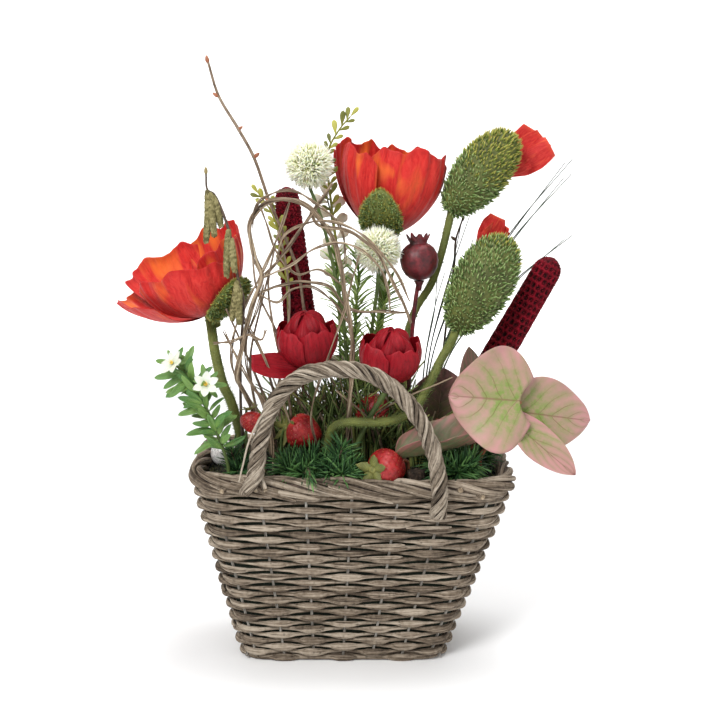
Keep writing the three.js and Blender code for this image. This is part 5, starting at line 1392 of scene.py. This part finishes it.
def strawberry(name, neck, axis, length, radius, bow, pick):
    """The fruit's swell is sin(a)(1 + 0.28 cos(a)); a dimple exp(-d^2) holds each seed. The
    calyx has ten narrow lobes, or fewer and broader ones, bent a little back."""
    rng = np.random.default_rng(int(radius * 10))
    fruit, green = Heap(), Heap()
    seat = Seat(neck, axis)

    def swell(a):
        return radius * np.sin(a) * (1 + 0.28 * np.cos(a)), 1 + length * (1 - np.cos(a)) / 2

    angle = np.linspace(0, np.pi, 40)
    count = 130
    way = sphere_points(count, 0.2, -0.93, 0.97)
    a, seed_turn = np.arccos(-way[:, 2]), np.arctan2(way[:, 1], way[:, 0])

    def dimples(theta, row):
        here = angle[row]
        side = np.sin(here)[..., None] * (np.mod(theta[..., None] - seed_turn + np.pi, 2 * np.pi) - np.pi)
        return -1.25 * np.exp(-((here[..., None] - a) ** 2 + side**2) / 0.0062).sum(-1), 0 * here * theta
    add_turned(fruit, seat, np.stack(swell(angle), 1), 72, dimples, tint=0.5)
    r, height = swell(a)
    out = unit(polar(np.sin(a), seed_turn, -np.cos(a) * 0.8))
    local = polar(r, seed_turn, height) - out * 0.75
    add_many(fruit, spike_shape(6, 0.9, 0.0, 0.8), seat.put(local), out @ seat.turn.T, seat.turn[:, 2] + 0.01, 0.75,
             rng.random(count), 1, spread=0.85)
    fruit.piece(f"strawberry_{name}_fruit", "berry", f"strawberry_{name}", [BERRY, SEED])
    face, lobes, spread, wide = CALYX.get(name, (axis, 10, 0.9, 0.15))
    leaf_seat = Seat(np.array(neck) + ((0.5, -2.5, 0) if name == "front" else (0, 0, 0)), face)
    for k in range(lobes):
        turn = 2 * np.pi * (k + 0.5) / lobes + rng.normal(0, 0.08)
        reach = radius * spread * rng.uniform(0.92, 1.08)

        def rule(u, v, turn=turn, reach=reach, k=k):
            half = wide * reach * np.sin(np.pi * (0.2 + 0.76 * v)) * (1 + 0.12 * np.sin(19 * v))
            away = reach * (0.1 + 0.9 * v)
            rise = -1.6 + 0.3 * (k % 2) - 0.14 * away * v + 0.35 * np.abs(u) * half - 0.8 * (k % 3) * v
            return leaf_seat.put(swung(away, half * u, rise, turn))
        add_sheet(green, rule, 7, 11, 0.45, tint=rng.random())
    add_turned(green, leaf_seat, [(0, -2.8), (2.6, -2.3), (3.6, -1.6), (2.4, -0.6), (0, 0.2)], 14, tint=0.3)
    add_stem(green, [leaf_seat.put(np.array([0, 0, -1.8])), bow, (*pick, 180)], 1.2, PICK_END, 50, 8, coat=1)
    green.piece(f"calyx_{name}_lobes", "calyx", f"calyx_{name}", [CALYX_LEAF, STALK])


for berry_values in BERRIES:
    strawberry(*berry_values)


# ---- broad leaves ----------------------------------------------------------------------
def rounded_end(v):
    """1, and over the last eighth a quarter circle down to a small blunt tip."""
    return np.sqrt(np.clip(1 - np.clip((v - 0.87) / 0.13, 0, 1) ** 2, 0.004, 1))


def heart(half):
    """A heart's half width along it: a sine hump that a power draws towards the foot."""
    return lambda v: half * rounded_end(v) * (0.16 + 1.02 * np.sin(np.pi * np.power(0.04 + 0.93 * v, 0.70)))


def oval(half):
    """An oval leaf's half width along it: a sine hump on top of 0.1."""
    return lambda v: half * rounded_end(v) * (0.1 + 0.95 * np.sin(np.pi * (0.03 + 0.93 * v)))


def blunt(half):
    """A blunt leaf's half width along it: two quarter ellipses, fullest at 0.4."""
    return lambda v: half * np.sqrt(np.clip(1 - ((v - 0.4) / np.where(v < 0.4, 0.41, 0.62)) ** 2, 0.006, 1))


def broad_leaves(node, slot, blades, stem_points, radius, coat, thick=0.7):
    """Broad blades on one stalk, each with a tint 0.3 above the one before."""
    heap = Heap()
    for k, blade in enumerate(blades):
        add_sheet(heap, leaf_rule(**blade), 41, 41, thick, 0.3 * k)
    add_stem(heap, stem_points, radius, PICK_END, 70, 9, coat=1)
    heap.piece(f"{node}_blade{'s' if node == 'olive_leaves' else ''}", slot, node, [coat, PETIOLE])


broad_leaves("heart_leaf_large", "pink_leaf", [
    dict(origin=(157, -73, 252.5), direction=(-0.98, -0.03, 0.08), up=(0.05, -1, 0.2), length=63, width=heart(40),
         curl=-0.3, fold=0.2, wave=4.0, notch=11, fine=0.9),
    dict(origin=(138, -69, 246), direction=(0.72, -0.08, -0.68), up=(0.25, -0.85, 0.35), length=90, width=oval(16),
         curl=0.2, fold=0.35, wave=2.4, seed=4, fine=0.6)],
    [(157, -72.5, 251), (151, -58, 245), (140, -42, 218), (127, -33, 190)], 1.7, PINK_LEAF)
broad_leaves("heart_leaf_small", "pink_leaf", [
    dict(origin=(158, -60, 240), direction=(0.9, -0.03, -0.12), up=(0, -1, 0.15), length=68, width=heart(29),
         curl=-0.4, fold=0.1, wave=2.4, notch=12, seed=2, fine=0.8)],
    [(176, -57, 238), (166, -46, 238), (150, -28, 214), (128, -21, 190)], 1.7, PINK_LEAF)
broad_leaves("blush_leaf", "blush_leaf", [
    dict(origin=(88, 2, 212), direction=(0.12, 0.02, 1), up=(0, -1, 0), length=58, width=oval(26), curl=0.25,
         fold=0.3, wave=1.8, seed=3, fine=0.6)],
    [(89, 2, 220), (86, 1.5, 204), (84, 1, 190)], 1.6, BLUSH_LEAF)
broad_leaves("olive_leaves", "olive_leaf", [
    dict(origin=(133, -22, 214), direction=(0.42, -0.1, 0.9), up=(0.1, -1, 0.1), length=62, width=oval(15), curl=0.3,
         fold=0.25, wave=1.6, seed=6, fine=0.5),
    dict(origin=(126, -20, 214), direction=(-0.12, 0.28, 0.95), up=(0.1, -1, 0.2), length=78, width=oval(13), curl=0.2,
         fold=0.25, wave=1.6, seed=8, fine=0.5)],
    [(132, -22, 222), (126, -20, 208), (116, -14, 190)], 2.4, OLIVE_LEAF)
broad_leaves("curled_leaf", "olive_leaf", [
    dict(origin=(49, -53, 195), direction=(1, 0.09, 0.08), up=(0, -0.22, 1), length=85, width=blunt(20), curl=0.25,
         fold=1.25, wave=3.6, seed=5, fine=0.8)],
    [(54, -52, 194), (57, -48, 192), (60, -42, 188)], 1.6, CURLED_LEAF, 0.9)


# ---- ball, bark, twigs and vines -------------------------------------------------------
def swirl_ball():
    """A glazed ball, 12.5 mm in radius."""
    heap = Heap()
    add_turned(heap, Seat((-114, 8, 184.5)), ball(12.5, 40), 56)
    heap.piece("swirl_ball_glazed", "swirl", "swirl_ball", [PEARL])


def bark_plug():
    """A short column whose wall is broken by deep sines of several counts, and a rough top."""
    heap = Heap()
    height = np.linspace(0, 25, 26)
    profile = [(0, 0), *[(7.6, h) for h in height], (5.5, 24.6), (3, 24.0), (0, 23.2)]

    def grooves(angle, row):
        share = np.where(row < 27, 1.0, 0.25)
        deep = (1.1 * np.abs(np.sin(6 * angle + 0.4 * np.sin(0.5 * row))) ** 3
                + 0.5 * np.abs(np.sin(13 * angle + 0.3 * row)))
        out = share * (0.7 - deep + 0.25 * np.sin(1.7 * row + 3 * angle))
        return out, 0.4 * np.sin(5 * angle + row) * (row > 20)
    add_turned(heap, Seat((68, -57, 160), (-0.06, 0.02, 1)), profile, 72, grooves, tint=0.5)
    heap.piece("bark_plug_column", "bark", "bark_plug", [BARK])


def add_bud(heap, place, direction, size, coat):
    """A bud: a fat pointed spindle."""
    spindle = [(x * size, z * size) for x, z in ((0.20, 0.1), (0.27, 0.4), (0.2, 0.75), (0.08, 0.95), (0, 1))]
    add_turned(heap, Seat(place, direction), [(0, -0.5), *spindle], 12, coat=coat, tint=0.3)


def hazel():
    """A bare crooked twig with a bud at each bend and at its tip."""
    heap = Heap()
    add_stem(heap, [(-120, -4, 548), (-111, -4, 518), (-94, -4, 489), (-80, -4, 463), (-66, -3, 422), (-53, 0, 391),
                    (-42, 4, 361), (-37, 6, 330), (-33, 8, 280), (-29, 9, 196)], 1.5, count=160, sides=9, tip=0.8)
    for place, way, size in (((-120, -4, 546.5), (-0.2, 0, 1), 7.2), ((-111, -4, 517), (-0.9, -0.2, 0.6), 6.5),
                             ((-94, -4, 488), (0.9, -0.2, 0.6), 5.5), ((-80, -4, 463), (0.8, -0.2, 0.7), 7.0),
                             ((-66, -3, 423), (-0.8, -0.2, 0.6), 6.0)):
        add_bud(heap, place, way, size, 1)
    heap.piece("hazel_twig_bark", "twig", "hazel_twig", [TWIG, PETIOLE])


CATKINS = [((-117, -52, 436), (-119, -53, 391)), ((-114, -52, 434), (-111.5, -55, 397)),
           ((-112, -52, 432), (-106, -51, 405)), ((-99, -53, 402), (-101.5, -54, 361)),
           ((-97, -53, 394), (-94, -57, 366)), ((-92, -53, 357), (-97, -55, 323)),
           ((-90, -53, 350), (-90.5, -59, 320))]


def catkins():
    """Hanging catkins: a slim core under rows of overlapping round scales, laid by the golden
    angle, each lying along it and lifting at its tip."""
    rng = np.random.default_rng(111)
    heap = Heap()
    add_stem(heap, [(-118, -52, 451), (-117, -52, 436), (-111, -52, 432), (-99, -53, 401), (-91, -53, 356),
                    (-87, -52, 338), (-91, -42, 297), (-93, -33, 240), (-92, -26, 196)], 1.3, count=150, sides=9,
             coat=1, tip=0.7)
    add_bud(heap, (-118, -52, 449.5), (0, 0, 1), 6.5, 0)
    scale = leaf_shape(0.95, 5, 5, 0.18, 0.3, 0.3, 0.6, 0.5, 0.3)
    for start, end in CATKINS:
        start, end = np.array(start, float), np.array(end, float)
        long = np.linalg.norm(end - start)
        bow = 0.5 * (start + end) + [1.2 * math.sin(long), 0, 0]
        line = smooth([start, bow, end], 60)
        swell = 2.6 * np.sqrt(np.clip(np.sin(np.pi * np.linspace(0.03, 0.985, 60)), 0.02, 1) ** 0.6)
        add_rod(heap, line, swell, 8, 0.1)
        count = int(4.2 * long)
        heading, side, other = axes_along(line)
        at = np.linspace(0, len(line) - 2, count).astype(int)
        out = spoke(side[at], other[at], GOLDEN * np.arange(count))
        add_many(heap, scale, line[at] + out * swell[at][:, None] * 0.85, heading[at] + 0.45 * out, out,
                 rng.uniform(2.7, 3.5, count), rng.random(count))
    heap.piece("catkin_twig_scales", "catkin", "catkin_twig", [CATKIN, DARK_TWIG_AND_CORE_SHADE])


def dark_twig():
    """A thin dark twig with two buds."""
    heap = Heap()
    add_stem(heap, [(114, 50, 404), (108, 51, 384), (107, 53, 362), (100, 56, 300), (91, 57, 196)], 1.2, count=120,
             sides=8, tip=0.7)
    add_bud(heap, (114, 50, 402.5), (0.3, 0, 1), 5.5, 0)
    add_bud(heap, (108, 51, 384), (-0.8, -0.2, 0.6), 6.5, 0)
    heap.piece("dark_twig_bark", "twig", "dark_twig", [DARK_TWIG_AND_CORE_SHADE])


VINES = [
    (2.0, [(-72, -31, 190), (-77, -32, 222), (-88, -40, 252), (-94, -52, 268), (-92, -53, 284), (-82, -46, 327),
           (-72, -39, 358), (-78, -38, 376), (-82, -37, 404), (-70, -37, 422), (-53, -37, 427), (-36, -37, 424),
           (-22, -37, 413), (-8, -38, 392), (-2, -38, 370), (4, -38, 335), (9, -38, 300), (7, -33, 250), (4, -25, 196)],
     (0, 18)),
    (1.5, [(-72, -39, 357), (-55, -40, 375), (-36, -38, 402), (-20, -37, 424), (-8, -37, 441)], ()),
    (1.4, [(-28, -36, 416), (-20, -38, 404), (4, -40, 400), (30, -41, 382), (43, -40, 358), (57, -38, 330),
           (62, -36, 316)], ()),
    (1.3, [(-76, -41, 344), (-58, -40, 350), (-36, -39, 354), (-12, -39, 350), (2, -38, 333), (14, -37, 327),
           (34, -36, 327), (57, -37, 326)], ()),
    (1.3, [(-115, -50, 300), (-98, -50, 302), (-84, -50, 308), (-72, -48, 303), (-68, -44, 312)], ()),
    (1.3, [(-106, -48, 312), (-93, -52, 286), (-80, -56, 262), (-70, -57, 248), (-64, -50, 215), (-63, -44, 190)], (5,)),
    (1.2, [(-80, -38, 402), (-77, -40, 418), (-70, -42, 428), (-53, -43, 435), (-40, -43, 434), (-19, -42, 421),
           (-6, -41, 410), (1, -39, 395), (3, -38, 370)], ()),
    (1.3, [(-58, -40, 372), (-51, -43, 395), (-34, -44, 406), (-16, -43, 409), (3, -42, 404), (24, -42, 391),
           (47, -41, 365), (60, -38, 336)], ()),
    (1.2, [(-72, -39, 357), (-46, -43, 369), (-25, -44, 384), (-2, -43, 389), (18, -42, 382), (35, -42, 365),
           (41, -41, 346), (43, -40, 326)], ()),
    (1.2, [(-76, -41, 344), (-58, -43, 336), (-44, -43, 348), (-27, -43, 350), (-6, -42, 334), (9, -39, 312)], ()),
    (1.1, [(-72, -40, 420), (-66, -42, 403), (-57, -43, 380), (-40, -43, 361), (-20, -42, 365), (0, -40, 352)], ()),
    (1.4, [(-88, -40, 252), (-99, -45, 280), (-96, -47, 312), (-84, -44, 338), (-74, -40, 356), (-60, -38, 388),
           (-52, -38, 408), (-46, -38, 425)], ()),
    (1.2, [(-66, -30, 192), (-72, -36, 240), (-84, -44, 270), (-86, -46, 300), (-76, -43, 330), (-70, -40, 352)], ()),
    (1.0, [(-40, -20, 190), (-52, -34, 236), (-66, -44, 276), (-78, -47, 306), (-90, -48, 330), (-94, -46, 352)], ()),
    (1.0, [(-20, -30, 190), (-28, -50, 235), (-12, -62, 290), (2, -58, 330), (8, -48, 352), (16, -42, 380)], ())]

DARK_STRANDS = [
    [(-60, -14, 186), (-70, -26, 240), (-92, -36, 300), (-104, -40, 330)],
    [(-52, -10, 186), (-60, -22, 236), (-74, -34, 290), (-88, -40, 318), (-98, -42, 344)],
    [(-46, -12, 186), (-50, -26, 250), (-62, -36, 312), (-66, -38, 352), (-60, -40, 384)],
    [(-66, -8, 186), (-80, -16, 232), (-84, -30, 282), (-72, -38, 336), (-64, -40, 366)],
    [(-30, 2, 186), (-44, -8, 246), (-58, -26, 302), (-76, -38, 346), (-80, -40, 382)],
    [(-76, -12, 186), (-62, -30, 244), (-50, -34, 300), (-48, -36, 352), (-56, -38, 400)]]


def vines():
    """Each strand is two or three split filaments that twist slowly about one line."""
    rng = np.random.default_rng(121)
    heap = Heap()
    for number, (radius, points, feet) in enumerate(VINES):
        count = 24 * len(points)
        line = smooth(points, count)
        side, other = axes_along(line)[1:]
        share = np.linspace(0, 1, count)
        for k in range(2 if number > 3 else 3):
            angle = 2 * np.pi * (k / 2.5 + share * len(points) * 0.28) + rng.random()
            thin_ends = mix(0.55, 1, ease(10 * np.minimum(share, 1 - share) + 0.3))
            add_rod(heap, line + spoke(side, other, angle) * radius * 0.66,
                    radius * 0.56 * (1 + 0.14 * np.sin(20 * share + 4 * k)) * thin_ends, 8, rng.random(),
                    offset=900.0 * k + 3000.0 * number)
        for foot in feet:
            x, y = points[foot][:2]
            add_rod(heap, smooth([points[foot], (x, y, MOSS), (x, y, PICK_END)], 20), radius * 0.9, 8, 0.4)
    for k, points in enumerate(DARK_STRANDS):
        line = smooth(points, 60)
        add_rod(heap, line, 1.5 * np.linspace(1, 0.6, 60), 7, 0.15 * k, 1, offset=500.0 * k)
    heap.piece("vine_loops_strands", "vine", "vine_loops", [VINE, TWIG])


def grass():
    """Thin blades that fan out of one foot, each thinning to its tip, doubled near the top."""
    heap = Heap()
    foot = (74, 50, 178)
    tips = [(121, 50, 408), (132, 52, 389), (219, 58, 461), (217, 50, 447), (219, 47, 389), (98, 56, 352)]
    for k, tip in enumerate(tips):
        bow = 14 + 4 * k
        for shift in (0.0, 2.4):
            low, high = (np.array([mix(f, t, share) for f, t, share in zip(foot, tip, shares)])
                         for shares in ((0.22, 0.5, 0.4), (0.6, 1, 0.72)))
            points = [foot, low + 0.5 * bow * UP, high + (0.4 * bow - shift) * UP,
                      (tip[0] - 3 * shift, tip[1], tip[2] - 1.5 * shift)]
            add_rod(heap, smooth(points, 60), 1.05 * np.linspace(1, 0.4, 60), 5, 0.2 + 0.1 * k, flat=0.6)
    add_rod(heap, smooth([(74, 50, 184), (74, 50, 160), (74, 50, PICK_END)], 12), 3.0, 10, 0.3)
    heap.piece("grass_tuft_blades", "grass", "grass_tuft", [GRASS_BLADE])


swirl_ball()
bark_plug()
hazel()
catkins()
dark_twig()
vines()
grass()


# ---- moss and foam ---------------------------------------------------------------------
def inside(share, z):
    """A place just inside the wall at a share round it and at height z."""
    t = mix(8 / HEIGHT, 1.0, (z - 8) / (HEIGHT - 8))
    return wall(share, t, -WALL - 1.3)


def moss():
    """A low mound, edge + mound (1 - r^4) plus sines, closed below, under a felt of short
    strands that stand every way, with thin green and dry blades between the stems."""
    rng = np.random.default_rng(131)
    heap = Heap()
    columns, rings = 120, 34
    share = np.arange(columns) / columns
    rim = inside(share, 163.0)
    middle = np.array([LEAN, 0.0])
    r = np.linspace(1, 0, rings)[:, None]
    flat = middle + (rim[None, :, :2] - middle) * r[..., None]
    bumps = (1.1 * np.sin(0.21 * flat[..., 0] + 1.3) * np.sin(0.27 * flat[..., 1])
             + 0.7 * np.sin(0.55 * flat[..., 0] + 0.4 * flat[..., 1]))
    z = MOSS + 0.2 + 8 * (1 - r**4) + bumps * np.minimum(1, 3 * (1 - r)) + 0.8 * rim_lift(flat[..., 0]) * r
    top = np.concatenate([flat, z[..., None]], -1)
    low = inside(share, 143.0)
    low[:, 2] = 142.6
    grid = np.concatenate([low[None], top[:-1]], 0)
    corners = np.vstack([grid.reshape(-1, 3), [[LEAN, 0, 142.6]], top[-1, :1]])
    heap.add(corners, *tube_faces(rings, columns), corners, 0.2)
    count = 5200
    pick = rng.integers(0, columns, count)
    reach = np.sqrt(rng.random(count)) * 0.985
    place = middle + (rim[pick, :2] - middle) * reach[:, None]
    height = MOSS + 8 * (1 - reach**4) + 0.8 * rim_lift(place[:, 0]) * reach
    foot = np.concatenate([place, height[:, None]], 1)
    way = rng.normal(0, 0.7, (count, 3)) + [0, 0, 0.75]
    add_many(heap, spike_shape(3, 0.2, 0.3, 0.9), foot, way, rng.normal(0, 1, (count, 3)),
             rng.uniform(3.0, 6.5, count), rng.random(count))
    for k in range(950):
        x, y = rng.uniform(-64, 80), rng.uniform(-14, 46)
        high = rng.uniform(30, 106) * (1 - 0.35 * abs(x - 8) / 70)
        lean = rng.normal(0, 0.3, 2) * high
        base = np.array([x, y, 172.0])
        blade = smooth([base, base + [*(0.25 * lean), 0.55 * high], base + [*lean, high]], 9)
        add_rod(heap, blade, rng.uniform(0.9, 2.0) * np.linspace(1, 0.45, 9), 4, rng.random(),
                (1, 3, 1, 2, 1)[k % 5], flat=0.45, offset=97.0 * k)
    heap.piece("moss_bed_felt", "moss", "moss_bed", [MOSS_COAT, STALK, VINE, HAIRY])


moss()
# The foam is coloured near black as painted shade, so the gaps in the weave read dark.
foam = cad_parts["floral_foam"]
foam.data.materials.clear()
foam.data.materials.append(FOAM_SHADE_COAT)


# ---- floor, light and camera -----------------------------------------------------------
def sweep():
    """Floor and backdrop in one: flat, then a quarter circle up into a wall."""
    x = np.array([-9.0, 9.0])
    bend = np.linspace(0, np.pi / 2, 24)
    y = np.r_[-8.0, 3.0, 3.0 + 1.5 * np.sin(bend), 4.5]
    z = np.r_[0.0, 0.0, 1.5 * (1 - np.cos(bend)), 9.0]
    grid = np.stack([np.tile(x, (len(y), 1)), np.repeat(y[:, None], 2, 1), np.repeat(z[:, None], 2, 1)], -1)
    mesh = bpy.data.meshes.new("floor_sweep")
    mesh.from_pydata(grid.reshape(-1, 3).tolist(), [], grid_faces(len(y), 2).tolist())
    mesh.polygons.foreach_set("use_smooth", np.ones(len(mesh.polygons), bool))
    mesh.materials.append(finish("Pale floor", floor_paint, (0.94, 0.94, 0.94), coat_rough=0.03))
    link("floor_sweep", mesh)


def lamp(name, place, target, size, power):
    """A square area light that faces its target."""
    data = bpy.data.lights.new(name, "AREA")
    data.shape, data.size, data.energy = "SQUARE", size, power
    made = link(name, data)
    made.location = place
    way = np.array(target) - np.array(place)
    made.rotation_euler = (math.acos(-way[2] / np.linalg.norm(way)), 0, math.atan2(way[1], way[0]) - math.pi / 2)


sweep()
lamp("key", (-1.0, -1.8, 1.9), (0, 0, 0.25), 0.9, 52)
lamp("fill", (1.9, -1.5, 1.0), (0, 0, 0.25), 1.6, 9)
lamp("top", (0.2, 0.2, 2.3), (0, 0, 0.2), 1.2, 30)
lamp("backdrop", (0, 1.4, 1.7), (0, 4.5, 1.5), 2.4, 130)
world = bpy.data.worlds.new("studio")
world.use_nodes = True
background = world.node_tree.nodes["Background"].inputs
background["Color"].default_value = (1, 1, 1, 1)
background["Strength"].default_value = 0.46
bpy.context.scene.world = world
bpy.context.scene.view_settings.view_transform = "Standard"

# The photo is 720 pixels high and its camera's focal length is 1249 of them.
FRAME_HEIGHT, FOCAL, PHOTO_HEIGHT = 24.0, 1249.0, 720.0
camera = bpy.data.cameras.new("camera")
camera.sensor_fit = "VERTICAL"
camera.sensor_height = FRAME_HEIGHT
camera.lens = FOCAL / PHOTO_HEIGHT * FRAME_HEIGHT
seen_from = link("camera", camera)
seen_from.location = (0.016, -1.150, 0.480)
seen_from.rotation_euler = (math.radians(90 - 10.05), 0, 0)
bpy.context.scene.camera = seen_from
